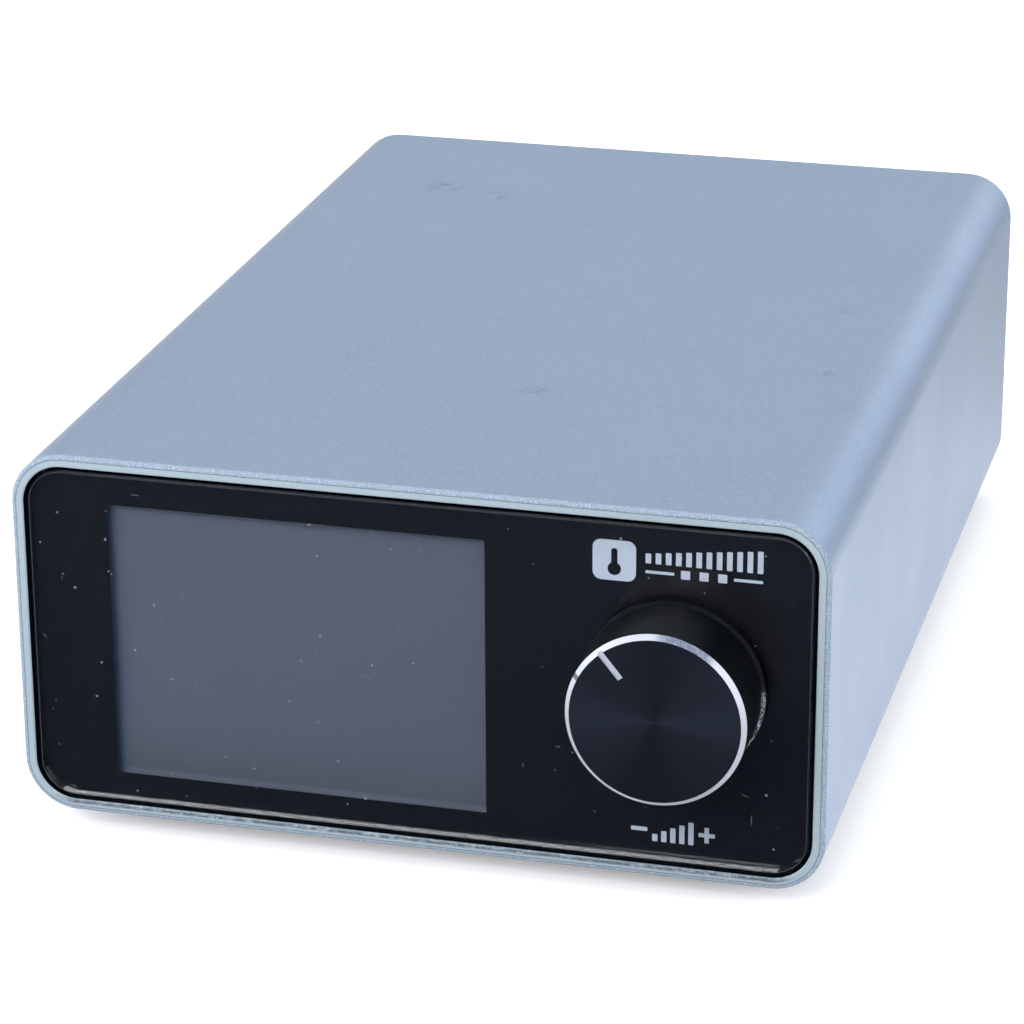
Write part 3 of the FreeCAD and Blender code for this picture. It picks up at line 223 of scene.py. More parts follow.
def makeGrainGroup():
    # fine grain: a height for bump, and a mask of the same specks for colour and roughness
    tree, given, result = makeGroup(
        "fineGrain",
        [("Vector", "Vector", None), ("Size", "Float", 0.0002), ("Cloud Size", "Float", 0.02)],
        [("Height", "Float"), ("Specks", "Float"), ("Clouds", "Float")],
    )
    fine = noise(tree, given["Vector"], maths(tree, "DIVIDE", 1.0, given["Size"]), 2.0, 0.6)
    clouds = noise(tree, given["Vector"], maths(tree, "DIVIDE", 1.0, given["Cloud Size"]), 4.0, 0.55)
    tree.links.new(fine, result["Height"])
    tree.links.new(mapRange(tree, fine, 0.35, 0.65), result["Specks"])
    tree.links.new(mapRange(tree, clouds, 0.3, 0.7), result["Clouds"])
    return tree


def makeWearGroup():
    # edges rubbed through: where a rounded normal leaves the true one, broken up by noise
    tree, given, result = makeGroup(
        "edgeWear",
        [
            ("Vector", "Vector", None),
            ("Width", "Float", 0.0004),
            ("Patch Size", "Float", 0.002),
            ("Amount", "Float", 0.5),
        ],
        [("Mask", "Float")],
    )
    bevel = newNode(tree, "ShaderNodeBevel", samples=4)
    tree.links.new(given["Width"], bevel.inputs["Radius"])
    geometry = newNode(tree, "ShaderNodeNewGeometry")
    dot = newNode(tree, "ShaderNodeVectorMath", operation="DOT_PRODUCT")
    tree.links.new(bevel.outputs[0], dot.inputs[0])
    tree.links.new(geometry.outputs["Normal"], dot.inputs[1])
    edge = maths(tree, "SUBTRACT", 1.0, dot.outputs["Value"])
    patches = noise(tree, given["Vector"], maths(tree, "DIVIDE", 1.0, given["Patch Size"]), 3.0, 0.6)
    limit = maths(tree, "SUBTRACT", 1.0, given["Amount"])
    rubbed = mapRange(tree, edge, 0.01, 0.12)
    broken = maths(tree, "MULTIPLY", rubbed, maths(tree, "GREATER_THAN", patches, limit))
    tree.links.new(broken, result["Mask"])
    return tree


def makeDustGroup():
    # thin dust: more on what faces up, in soft patches with fine specks
    tree, given, result = makeGroup(
        "thinDust",
        [("Vector", "Vector", None), ("Amount", "Float", 0.3)],
        [("Mask", "Float")],
    )
    geometry = newNode(tree, "ShaderNodeNewGeometry")
    up = mapRange(tree, split(tree, geometry.outputs["Normal"])[2], 0.2, 1.0)
    patches = mapRange(tree, noise(tree, given["Vector"], 90.0, 4.0, 0.6), 0.45, 0.75)
    specks = mapRange(tree, noise(tree, given["Vector"], 2600.0, 1.0, 0.5), 0.68, 0.78)
    mixed = maths(tree, "MULTIPLY_ADD", patches, 0.35, maths(tree, "MULTIPLY", specks, 0.65))
    spread = maths(tree, "MULTIPLY", up, mixed)
    tree.links.new(maths(tree, "MULTIPLY", spread, given["Amount"]), result["Mask"])
    return tree


def makeInsetGroup():
    # how far a point lies inside the tube's outer surface, seen along Y: a rounded rectangle
    tree, given, result = makeGroup(
        "tubeInset",
        [
            ("Vector", "Vector", None),
            ("Half Width", "Float", 0.05),
            ("Half Height", "Float", 0.02),
            ("Radius", "Float", 0.006),
        ],
        [("Inset", "Float")],
    )
    parts = split(tree, given["Vector"])
    beyond = []
    for axis, size in ((0, "Half Width"), (2, "Half Height")):
        straight = maths(tree, "SUBTRACT", given[size], given["Radius"])
        beyond.append(maths(tree, "SUBTRACT", maths(tree, "ABSOLUTE", parts[axis]), straight))
    outX, outZ = [maths(tree, "MAXIMUM", value, 0.0) for value in beyond]
    squares = squareSum(tree, outX, outZ)
    inner = maths(tree, "MINIMUM", maths(tree, "MAXIMUM", beyond[0], beyond[1]), 0.0)
    distance = maths(tree, "ADD", maths(tree, "SQRT", squares), inner)
    tree.links.new(maths(tree, "SUBTRACT", given["Radius"], distance), result["Inset"])
    return tree


grainGroup = makeGrainGroup()
insetGroup = makeInsetGroup()
wearGroup = makeWearGroup()
dustGroup = makeDustGroup()


def useGroup(tree, group, vector, **values):
    node = newNode(tree, "ShaderNodeGroup", node_tree=group)
    tree.links.new(vector, node.inputs["Vector"])
    for name, value in values.items():
        setInput(tree, node, name.replace("_", " "), value)
    return node.outputs


# materials

def newMaterial(name, roughness=0.5, metallic=0.0, **fixed):
    material = bpy.data.materials.new(name)
    material.use_nodes = True
    tree = material.node_tree
    shader = tree.nodes["Principled BSDF"]
    shader.inputs["Roughness"].default_value = roughness
    shader.inputs["Metallic"].default_value = metallic
    for socketName, value in fixed.items():
        shader.inputs[socketName.replace("_", " ")].default_value = value
    return material, tree, shader


def addBump(tree, shader, height, strength, distance):
    bump = newNode(tree, "ShaderNodeBump")
    bump.inputs["Strength"].default_value = strength
    bump.inputs["Distance"].default_value = distance
    tree.links.new(height, bump.inputs["Height"])
    tree.links.new(bump.outputs["Normal"], shader.inputs["Normal"])


caseLook = {
    "body": (141, 157, 181),
    "cloud": (134, 149, 174),
    "speck": (164, 179, 201),
    "smudge": (98, 116, 146),
    "rim": (149, 163, 173),
    "spark": (172, 188, 204),
    "sparkDark": (134, 150, 168),
    # painted shade: the colour that the gap beside the panels is painted
    "gap": (9, 12, 17),
    "line": (70, 84, 98),
    "lowInnerDark": (34, 46, 58),
    "roughness": 0.36,
    "metallic": 0.9,
    "rimMetallic": 0.12,
    "grain": 0.00030,
    "radius": 6.8 * mm,
    "sparkWidth": 0.56 * mm,     # the rough outer band of the rim
    "lineWidth": 0.10 * mm,
    "darkInset": 1.10 * mm,
    "wall": 1.56 * mm,           # beyond this inset a face near an end is the wall's inside
    "gapDepth": 3.0 * mm,
    "faceDepth": 0.36 * mm,      # this near an end, a face belongs to the rim
    "sparkReach": (0.7 * mm, 0.3 * mm),
    "wobble": 0.5 * mm,          # of the spark band's ragged edge
    "topSkin": 0.5 * mm,
    "darkHeights": (2.2 * mm, 0.9 * mm),
    "cloudShare": 0.55,
    "smudgeShare": 0.16,
    "spotShare": 0.95,
    "speckShare": 0.42,
    "rimGlints": 0.18,
    "lineShare": 0.8,
    "darkShare": 0.9,
    "bump": 0.6,
    "bumpDepth": 0.00012,
}
blemishes = [   # x, y and reach on the top face, from the case's middle
    (39.7, 4.5, 2.2), (41.5, -22.0, 1.8), (-31.0, 50.0, 5.0), (-22.0, 46.0, 3.2), (6.0, -38.0, 3.0),
]


def anodisedCase():
    material, tree, shader = newMaterial("anodisedCase")
    place = objectCoords(tree)
    centred = objectCoords(tree, centre=caseMid)
    grain = useGroup(tree, grainGroup, place, Size=caseLook["grain"], Cloud_Size=0.03)
    half = (caseHigh - caseLow) / 2
    outline = {"Half_Width": half.x, "Half_Height": half.z, "Radius": caseLook["radius"]}
    inset = useGroup(tree, insetGroup, centred, **outline)["Inset"]
    parts = split(tree, centred)
    toEnd = maths(tree, "SUBTRACT", half.y, maths(tree, "ABSOLUTE", parts[1]))   # from the nearer rim
    ragged = noise(tree, place, 900.0, 2.0, 0.6)
    wobble = maths(tree, "MULTIPLY_ADD", ragged, caseLook["wobble"], -caseLook["wobble"] / 2)
    nearRim = mapRange(tree, maths(tree, "ADD", toEnd, wobble), *caseLook["sparkReach"])
    outer = maths(tree, "LESS_THAN", inset, caseLook["sparkWidth"])
    onFace = maths(tree, "LESS_THAN", toEnd, caseLook["faceDepth"])
    spark = maths(tree, "MULTIPLY", nearRim, outer)
    rim = maths(tree, "MULTIPLY", onFace, maths(tree, "SUBTRACT", 1.0, outer))
    lineEnd = caseLook["sparkWidth"] + caseLook["lineWidth"]
    line = maths(tree, "MULTIPLY", rim, maths(tree, "LESS_THAN", inset, lineEnd))
    # soft tone changes, handling marks and a few rubbed places on top
    stretched = objectCoords(tree, scale=(1, 0.45, 1))
    smudge = mapRange(tree, noise(tree, stretched, 70.0, 5.0, 0.62), 0.60, 0.78)
    onTop = maths(tree, "GREATER_THAN", parts[2], half.z - caseLook["topSkin"])
    spots = 0.0
    for x, y, reach in blemishes:
        spot = newNode(tree, "ShaderNodeVectorMath", operation="DISTANCE")
        tree.links.new(centred, spot.inputs[0])
        spot.inputs[1].default_value = (x * mm, y * mm, half.z)
        spots = maths(tree, "MAXIMUM", spots, mapRange(tree, spot.outputs["Value"], reach * mm, 0.0))
    patchy = mapRange(tree, noise(tree, place, 420.0, 4.0, 0.65), 0.42, 0.70)
    spots = maths(tree, "MULTIPLY", maths(tree, "MULTIPLY", spots, patchy), onTop)
    body = rgb(caseLook["body"])
    body = partMix(tree, grain["Clouds"], caseLook["cloudShare"], body, rgb(caseLook["cloud"]))
    body = partMix(tree, smudge, caseLook["smudgeShare"], body, rgb(caseLook["smudge"]))
    body = partMix(tree, spots, caseLook["spotShare"], body, rgb(caseLook["smudge"]))
    body = partMix(tree, grain["Specks"], caseLook["speckShare"], body, rgb(caseLook["speck"]))
    # the rim: a flat machined band, a fine dark line, and a rough sparkling band round the outside
    glints = mapRange(tree, noise(tree, place, 5200.0, 2.0, 0.7), 0.42, 0.66)
    sparkColour = mixColour(tree, glints, rgb(caseLook["sparkDark"]), rgb(caseLook["spark"]))
    # darker in broken patches along the rim's inner edge, towards the bottom
    darkPatches = mapRange(tree, noise(tree, objectCoords(tree, scale=(0.6, 1, 1.6)), 2200.0, 5.0, 0.75), 0.36, 0.54)
    low = mapRange(tree, parts[2], *[height - half.z for height in caseLook["darkHeights"]])
    inner = mapRange(tree, inset, caseLook["darkInset"] - 0.25 * mm, caseLook["darkInset"] + 0.1 * mm)
    lowInnerDark = maths(tree, "MULTIPLY", maths(tree, "MULTIPLY", darkPatches, low), maths(tree, "MULTIPLY", inner, rim))
    rimColour = partMix(tree, glints, caseLook["rimGlints"], rgb(caseLook["rim"]), rgb(caseLook["spark"]))
    rimColour = partMix(tree, line, caseLook["lineShare"], rimColour, rgb(caseLook["line"]))
    rimColour = partMix(tree, lowInnerDark, caseLook["darkShare"], rimColour, rgb(caseLook["lowInnerDark"]))
    shade = mixColour(tree, rim, body, rimColour)
    shade = mixColour(tree, spark, shade, sparkColour)
    # painted shade: the tube wall's inside in the narrow gap beside the panels is painted near black, with no
    # shine
    gap = maths(tree, "MULTIPLY", maths(tree, "GREATER_THAN", inset, caseLook["wall"]),
                maths(tree, "LESS_THAN", toEnd, caseLook["gapDepth"]))
    tree.links.new(mixColour(tree, gap, shade, rgb(caseLook["gap"])), shader.inputs["Base Color"])
    tree.links.new(mixValue(tree, gap, 0.5, 0.0), shader.inputs["Specular IOR Level"])
    face = maths(tree, "MAXIMUM", rim, spark)
    rough = maths(tree, "MULTIPLY_ADD", grain["Clouds"], 0.05, caseLook["roughness"])
    rough = maths(tree, "MULTIPLY_ADD", spots, 0.12, rough)
    tree.links.new(mixValue(tree, face, rough, 0.5), shader.inputs["Roughness"])
    metal = mixValue(tree, face, caseLook["metallic"], caseLook["rimMetallic"])
    tree.links.new(mixValue(tree, gap, metal, 0.0), shader.inputs["Metallic"])
    height = maths(tree, "MULTIPLY_ADD", maths(tree, "MULTIPLY", glints, spark), 1.6, grain["Height"])
    addBump(tree, shader, height, caseLook["bump"], caseLook["bumpDepth"])
    return material


def panelGlass():
    material, tree, shader = newMaterial("panelGlass", roughness=0.02, IOR=1.5, Transmission_Weight=1.0)
    shader.inputs["Base Color"].default_value = (0.96, 0.97, 0.98, 1.0)
    # lamps reach what is behind the glass
    clear = newNode(tree, "ShaderNodeBsdfTransparent")
    rays = newNode(tree, "ShaderNodeLightPath")
    mix = newNode(tree, "ShaderNodeMixShader")
    tree.links.new(rays.outputs["Is Shadow Ray"], mix.inputs[0])
    tree.links.new(shader.outputs[0], mix.inputs[1])
    tree.links.new(clear.outputs[0], mix.inputs[2])
    tree.links.new(mix.outputs[0], tree.nodes["Material Output"].inputs["Surface"])
    return material


def plainFinish(name, colour, roughness=0.5, metallic=0.0, size=0.0003, bump=0.15, depth=0.00005,
                tint=0.86, dust=0.0, wear=0.0, wearColour=(200, 200, 200), **fixed):
    # a moulded, painted or plated surface: grain, soft tone changes, a little dust and worn edges
    material, tree, shader = newMaterial(name, roughness, metallic, **fixed)
    place = objectCoords(tree)
    grain = useGroup(tree, grainGroup, place, Size=size, Cloud_Size=0.012)
    base = rgb(colour)
    darker = (*[c * tint for c in base[:3]], 1.0)
    shade = mixColour(tree, grain["Clouds"], base, darker)
    if wear:
        wearAndHighlight = useGroup(tree, wearGroup, place, Amount=wear)
        shade = mixColour(tree, wearAndHighlight["Mask"], shade, rgb(wearColour))
    if dust:
        dusty = useGroup(tree, dustGroup, place, Amount=dust)
        shade = mixColour(tree, dusty["Mask"], shade, rgb((178, 176, 172)))
    tree.links.new(shade, shader.inputs["Base Color"])
    roughest = min(1.0, roughness * 1.1)
    rough = mapRange(tree, grain["Clouds"], 0.0, 1.0, roughness * 0.92, roughest, smooth=False)
    tree.links.new(rough, shader.inputs["Roughness"])
    addBump(tree, shader, grain["Height"], bump, depth)
    return material


threadLook = {
    "colour": (186, 182, 174),
    "darker": (160, 156, 148),
    "pitch": 1.0 * mm,
    "innermost": 5.9 * mm,     # only the barrel's outside is threaded
    "outermost": 6.1 * mm,
    "fromMouth": 0.7 * mm,
    "length": 6.6 * mm,
    "depth": 0.00025,
    "root": (40, 40, 40),      # darker in the roots between the turns
    "rootShare": 0.8,
}


def threadedShell():
    # nickel plate, with a thread round the socket's barrel
    material, tree, shader = newMaterial("nickelShell", 0.3, 1.0)
    pinsLow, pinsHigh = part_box("socket_pins")
    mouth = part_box("socket_shell")[1].y
    axis = (pinsLow + pinsHigh) / 2
    parts = split(tree, objectCoords(tree, centre=(axis.x, mouth, axis.z)))
    radius = maths(tree, "SQRT", squareSum(tree, parts[0], parts[2]))
    turns = maths(tree, "DIVIDE", maths(tree, "ARCTAN2", parts[2], parts[0]), 2 * math.pi)
    along = maths(tree, "ADD", maths(tree, "DIVIDE", parts[1], threadLook["pitch"]), turns)
    ridge = maths(tree, "PINGPONG", along, 0.5)
    onBarrel = maths(tree, "MULTIPLY", maths(tree, "GREATER_THAN", radius, threadLook["innermost"]),
                     maths(tree, "LESS_THAN", radius, threadLook["outermost"]))
    onBarrel = maths(tree, "MULTIPLY", onBarrel, maths(tree, "LESS_THAN", parts[1], -threadLook["fromMouth"]))
    ends = -threadLook["fromMouth"] - threadLook["length"]
    onBarrel = maths(tree, "MULTIPLY", onBarrel, maths(tree, "GREATER_THAN", parts[1], ends))
    grain = useGroup(tree, grainGroup, objectCoords(tree), Size=0.0003, Cloud_Size=0.012)
    shade = mixColour(tree, grain["Clouds"], rgb(threadLook["colour"]), rgb(threadLook["darker"]))
    # the roots between the turns are painted darker
    root = maths(tree, "MULTIPLY", onBarrel, mapRange(tree, ridge, 0.14, 0.0))
    shade = partMix(tree, root, threadLook["rootShare"], shade, rgb(threadLook["root"]))
    tree.links.new(shade, shader.inputs["Base Color"])
    ridges = maths(tree, "MULTIPLY", maths(tree, "MULTIPLY", ridge, 2.0), onBarrel)
    addBump(tree, shader, ridges, 1.0, threadLook["depth"])
    return material


windowLook = {   # the clear window in the black print, from the case's middle
    "x": -15.6 * mm,
    "rise": -0.5 * mm,
    "width": 49.2 * mm,
    "height": 37.0 * mm,
    "corner": 0.35 * mm,
}
displayLook = {
    "dark": (75, 80, 94),
    "low": (71, 74, 84),
    "leftGlow": (56, 78, 104),
    "lowGlow": (96, 104, 120),
    "glowWidth": 1.0 * mm,
    "lowWidth": 0.5 * mm,
    "fadeHeight": 9.0 * mm,
    "columnShare": 0.08,
}


def displayGlass():
    # the unlit display: an even grey-blue, a soft blue strip down its left and a thin one along its foot
    material, tree, shader = newMaterial("displayGlass", roughness=0.4)
    shader.inputs["Specular IOR Level"].default_value = 0.25
    centre = (caseMid.x + windowLook["x"], lcdFront, caseMid.z + windowLook["rise"])
    place = objectCoords(tree, centre=centre)
    parts = split(tree, place)
    fromLeft = maths(tree, "ADD", parts[0], windowLook["width"] / 2)
    fromFoot = maths(tree, "ADD", parts[2], windowLook["height"] / 2)
    left = maths(tree, "MULTIPLY", mapRange(tree, fromLeft, displayLook["glowWidth"], 0.0), 0.75)
    foot = maths(tree, "MULTIPLY", mapRange(tree, fromFoot, displayLook["lowWidth"], 0.0), 0.5)
    fade = mapRange(tree, fromFoot, displayLook["fadeHeight"], 0.0)
    shade = mixColour(tree, fade, rgb(displayLook["dark"]), rgb(displayLook["low"]))
    columns = noise(tree, objectCoords(tree, scale=(1, 1, 0.02)), 1400.0, 1.0, 0.4)
    shade = partMix(tree, columns, displayLook["columnShare"], shade, rgb(displayLook["lowGlow"]))
    shade = mixColour(tree, foot, shade, rgb(displayLook["lowGlow"]))
    shade = mixColour(tree, left, shade, rgb(displayLook["leftGlow"]))
    tree.links.new(shade, shader.inputs["Base Color"])
    return material


knobLook = {
    "black": (45, 51, 64),
    "side": (4, 6, 10),
    "bright": (200, 203, 215),
    "dull": (66, 84, 114),
    "skirt": (20, 24, 30),
    # painted highlight: the light that the skirt's chamfer catches below the right-hand side
    "wearAndHighlight": (176, 186, 200),
    "ringStart": 10.60 * mm,
    "pointerFrom": 6.6 * mm,
    "pointerHalf": 0.40 * mm,
    "pointerAngle": 129.0,
    "lineDepth": 0.36 * mm,
    "bevel": 0.66 * mm,
    "skirtLength": 1.1 * mm,
    "nickAngle": 154.0,
    "nickWidth": 3.6,
    "dullFrom": 46.0,
    "dullTo": 94.0,
    "dullShare": 0.8,
    "nickShare": 0.75,
    "faceSkin": 0.02 * mm,       # this near the front, a face is the turned one
    "highlightAngle": 22.0,           # painted highlight on the skirt, below the right-hand side
    "highlightReach": (30.0, 20.0),
    "grooves": 9000.0,
}


def turnedKnob():
    # black anodised, its face turned in fine circles, with a bright cut bevel and pointer
    material, tree, shader = newMaterial("turnedKnob", Anisotropic=0.8)
    place = objectCoords(tree, centre=(knobMid.x, knobLow.y, knobMid.z))
    parts = split(tree, place)
    flat = newNode(tree, "ShaderNodeCombineXYZ")
    tree.links.new(parts[0], flat.inputs[0])
    tree.links.new(parts[2], flat.inputs[2])
    length = newNode(tree, "ShaderNodeVectorMath", operation="LENGTH")
    tree.links.new(flat.outputs[0], length.inputs[0])
    radius = length.outputs["Value"]
    angle = maths(tree, "MULTIPLY", maths(tree, "ARCTAN2", parts[2], parts[0]), 180.0 / math.pi)
    turn = math.radians(knobLook["pointerAngle"])
    along = maths(tree, "ADD", maths(tree, "MULTIPLY", parts[0], math.cos(turn)),
                  maths(tree, "MULTIPLY", parts[2], math.sin(turn)))
    across = maths(tree, "ADD", maths(tree, "MULTIPLY", parts[0], -math.sin(turn)),
                   maths(tree, "MULTIPLY", parts[2], math.cos(turn)))
    nearFront = maths(tree, "LESS_THAN", parts[1], knobLook["bevel"])
    ring = maths(tree, "MULTIPLY", nearFront, maths(tree, "GREATER_THAN", radius, knobLook["ringStart"]))
    line = maths(tree, "MULTIPLY", maths(tree, "GREATER_THAN", along, knobLook["pointerFrom"]),
                 maths(tree, "LESS_THAN", maths(tree, "ABSOLUTE", across), knobLook["pointerHalf"]))
    line = maths(tree, "MULTIPLY", line, maths(tree, "GREATER_THAN", parts[1], knobLook["faceSkin"]))
    line = maths(tree, "MULTIPLY", line, maths(tree, "LESS_THAN", parts[1], knobLook["lineDepth"]))
    bright = maths(tree, "MAXIMUM", ring, line)
    # a dark nick in the bevel, and a stretch of it rubbed dull
    fromNick = maths(tree, "ABSOLUTE", maths(tree, "SUBTRACT", angle, knobLook["nickAngle"]))
    nick = maths(tree, "LESS_THAN", fromNick, knobLook["nickWidth"] / 2)
    middle = (knobLook["dullFrom"] + knobLook["dullTo"]) / 2
    reach = (knobLook["dullTo"] - knobLook["dullFrom"]) / 2
    dull = mapRange(tree, maths(tree, "ABSOLUTE", maths(tree, "SUBTRACT", angle, middle)), reach, reach * 0.5)
    rubbed = mapRange(tree, noise(tree, place, 2200.0, 4.0, 0.7), 0.30, 0.55, 0.55, 1.0)
    dull = maths(tree, "MULTIPLY", dull, rubbed)
    brightColour = rgb(knobLook["bright"])
    brightColour = partMix(tree, dull, knobLook["dullShare"], brightColour, rgb(knobLook["dull"]))
    brightColour = partMix(tree, nick, knobLook["nickShare"], brightColour, rgb(knobLook["skirt"]))
    fromBack = maths(tree, "SUBTRACT", knobHigh.y - knobLow.y, parts[1])
    skirt = maths(tree, "MULTIPLY", maths(tree, "LESS_THAN", fromBack, knobLook["skirtLength"]),
                  maths(tree, "GREATER_THAN", radius, knobLook["ringStart"]))
    glints = mapRange(tree, noise(tree, place, 3200.0, 2.0, 0.7), 0.40, 0.70)
    # painted highlight: below the right-hand side the skirt is painted light, broken up into glints
    fromHighlight = maths(tree, "ABSOLUTE", maths(tree, "ADD", angle, knobLook["highlightAngle"]))
    wearAndHighlight = mapRange(tree, fromHighlight, *knobLook["highlightReach"])
    skirtTone = mixColour(tree, wearAndHighlight, rgb(knobLook["skirt"]), rgb(knobLook["wearAndHighlight"]))
    skirtColour = mixColour(tree, glints, rgb(knobLook["side"]), skirtTone)
    onFace = maths(tree, "LESS_THAN", parts[1], knobLook["faceSkin"])
    shade = mixColour(tree, onFace, rgb(knobLook["side"]), rgb(knobLook["black"]))
    shade = mixColour(tree, skirt, shade, skirtColour)
    tree.links.new(mixColour(tree, bright, shade, brightColour), shader.inputs["Base Color"])
    rough = mixValue(tree, skirt, mixValue(tree, onFace, 0.42, 0.34), 0.5)
    tree.links.new(mixValue(tree, bright, rough, 0.36), shader.inputs["Roughness"])
    tree.links.new(mixValue(tree, bright, mixValue(tree, onFace, 0.0, 0.85), 0.45), shader.inputs["Metallic"])
    gloss = maths(tree, "MAXIMUM", bright, onFace)
    tree.links.new(mixValue(tree, gloss, 0.08, 0.5), shader.inputs["Specular IOR Level"])
    grooves = newNode(tree, "ShaderNodeTexNoise", noise_dimensions="1D")
    setInput(tree, grooves, "W", maths(tree, "MULTIPLY", radius, knobLook["grooves"]))
    setInput(tree, grooves, "Scale", 1.0)
    addBump(tree, shader, grooves.outputs["Fac"], 0.12, 0.00003)
    around = newNode(tree, "ShaderNodeVectorMath", operation="CROSS_PRODUCT")
    tree.links.new(flat.outputs[0], around.inputs[0])
    around.inputs[1].default_value = (0, 1, 0)
    unit = newNode(tree, "ShaderNodeVectorMath", operation="NORMALIZE")
    tree.links.new(around.outputs[0], unit.inputs[0])
    tree.links.new(unit.outputs[0], shader.inputs["Tangent"])
    return material


finishes = {
    "anodised_case": anodisedCase(),
    "panel_glass": panelGlass(),
    "display_glass": displayGlass(),
    "knob_black": turnedKnob(),
    "black_print": plainFinish("blackPrint", (5, 7, 13), 0.5, bump=0.0, Specular_IOR_Level=0.1),
    "white_print": plainFinish("whitePrint", (172, 180, 196), 0.6, bump=0.0),
    "black_tape": plainFinish("blackTape", (20, 20, 20), 0.8, bump=0.3),
    "black_moulding": plainFinish("blackMoulding", (26, 26, 28), 0.6, bump=0.3),
    "steel_screw": plainFinish("zincScrew", (168, 168, 172), 0.32, 1.0, size=0.0002),
    "display_tray": plainFinish("displayTray", (215, 214, 210), 0.6),
    "flex_film": plainFinish("flexFilm", (170, 92, 30), 0.35),
    "black_board": plainFinish("blackBoard", (22, 28, 26), 0.35),
    "green_board": plainFinish("greenBoard", (20, 84, 44), 0.35),
    "chip_black": plainFinish("chipBlack", (30, 30, 32), 0.6),
    "white_nylon": plainFinish("whiteNylon", (222, 218, 205), 0.5),
    "zinc_plate": plainFinish("zincPlate", (180, 180, 184), 0.3, 1.0),
    "brass_shaft": plainFinish("brassShaft", (206, 176, 108), 0.3, 1.0),
    "rear_black": plainFinish("rearBlack", (30, 31, 34), 0.48, 0.4, size=0.00018, bump=0.3,
                              wear=0.35, dust=0.1),
    "inlet_black": plainFinish("inletBlack", (26, 26, 27), 0.5, size=0.00025, bump=0.35, dust=0.1),
    "rocker_black": plainFinish("rockerBlack", (22, 22, 23), 0.28, bump=0.06, dust=0.1),
    "plated_brass": plainFinish("platedBrass", (196, 190, 176), 0.28, 1.0),
    "fuse_glass": plainFinish("fuseCaps", (198, 200, 202), 0.22, 1.0),
    "nickel_shell": threadedShell(),
    "insert_black": plainFinish("insertBlack", (28, 28, 28), 0.55),
    "gold_pin": plainFinish("goldPin", (222, 182, 96), 0.25, 1.0),
    "jack_green": plainFinish("jackGreen", (24, 104, 52), 0.35, bump=0.05),
    "ferrite": plainFinish("ferrite", (50, 50, 52), 0.6),
    "winding_tape": plainFinish("windingTape", (206, 172, 52), 0.35),
    "bobbin_black": plainFinish("bobbinBlack", (34, 34, 34), 0.55),
    "capacitor_sleeve": plainFinish("capacitorSleeve", (26, 30, 58), 0.35),
    "filter_epoxy": plainFinish("filterEpoxy", (170, 128, 46), 0.4),
    "sink_aluminium": plainFinish("sinkAluminium", (190, 192, 196), 0.42, 1.0),
    "terminal_green": plainFinish("terminalGreen", (36, 116, 62), 0.45),
    "fish_paper": plainFinish("fishPaper", (190, 184, 162), 0.8, bump=0.3),
    "lead_brown": plainFinish("leadBrown", (92, 52, 30), 0.5),
    "lead_red": plainFinish("leadRed", (150, 26, 24), 0.5),
    "lead_green": plainFinish("leadGreen", (70, 128, 40), 0.5),
    "cable_grey": plainFinish("cableGrey", (62, 62, 64), 0.6),
    "foot_rubber": plainFinish("footRubber", (24, 24, 24), 0.75, size=0.0003, bump=0.4, dust=0.2),
}

for part in frame["record"]["subparts"]:
    cadObject = nodes[part["node"]]
    cadObject.data.materials.clear()
    cadObject.data.materials.append(finishes[part["material_slot"]])
print("materials:", len(finishes))


# the print behind the glass

printGap = 0.01 * mm    # between layers that lie on each other, so that none shares a face with the next
maskLook = {
    "margin": 0.05 * mm,         # inside the glass's outline
    "shaftHole": 4.3 * mm,
    "cornerInset": 2.15 * mm,    # how much tighter the glass's corners are than the tube's
}
glassCorner = caseLook["radius"] - maskLook["cornerInset"]


def makePrintedMask():
    # the black print, a little behind the glass's back face, with the window and the shaft's hole
    mesh = bmesh.new()
    size = glassHigh - glassLow
    depth = maskHigh.y - maskLow.y
    front = maskLow.y + 3 * printGap
    middleX = caseMid.x + windowLook["x"]
    middleZ = caseMid.z + windowLook["rise"]
    width = size.x - 2 * maskLook["margin"]
    height = size.z - 2 * maskLook["margin"]
    edges = roundedOutline(mesh, caseMid.x, front, caseMid.z, width, height, glassCorner, 12)
    edges += roundedOutline(mesh, middleX, front, middleZ, windowLook["width"], windowLook["height"],
                            windowLook["corner"], 4)
    edges += circleOutline(mesh, knobMid.x, front, knobMid.z, maskLook["shaftHole"])
    fillAndThicken(mesh, edges, depth - 4 * printGap)
    newPiece("printedMask", mesh, "case", finishes["black_print"], ["mask_film"])


badgeLook = {   # a light square with a thermometer in it, above the knob
    "x": 25.4 * mm,
    "rise": 17.0 * mm,
    "width": 5.45 * mm,
    "height": 5.3 * mm,
    "corner": 1.1 * mm,
    "bulb": 0.85 * mm,
    "stemWidth": 0.85 * mm,
    "stemHeight": 2.7 * mm,
    "stemRound": 0.45,           # its corners, as a share of its width
    "bulbRise": 1.55 * mm,       # above the square's foot
    "layer": 0.4,                # both as shares of the gap between layers
    "stemAhead": 0.1,
}
scaleLook = {   # rising strokes beside it, over a line broken by three small squares
    "x": 29.65 * mm,
    "rise": 15.9 * mm,
    "count": 12,
    "pitch": 1.26 * mm,
    "strokeWidth": 0.72 * mm,
    "shortest": 1.3 * mm,
    "tallest": 2.9 * mm,
    "foot": 17.0 * mm,
    "dashLength": 3.6 * mm,
    "dashHeight": 0.4 * mm,
    "square": 1.15 * mm,
    "squarePitch": 2.3 * mm,
}
levelLook = {   # minus, bars and plus under the knob
    "x": 33.1 * mm,
    "rise": -18.75 * mm,
    "bars": 5,
    "pitch": 1.15 * mm,
    "barWidth": 0.7 * mm,
    "shortest": 1.0 * mm,
    "tallest": 3.1 * mm,
    "signReach": 4.3 * mm,
    "signSize": 2.1 * mm,
    "signWidth": 0.56 * mm,
}


def bar(mesh, x, y, z, width, height, corner=0.12 * mm):
    return roundedOutline(mesh, x, y, z, width, height, corner, 2)


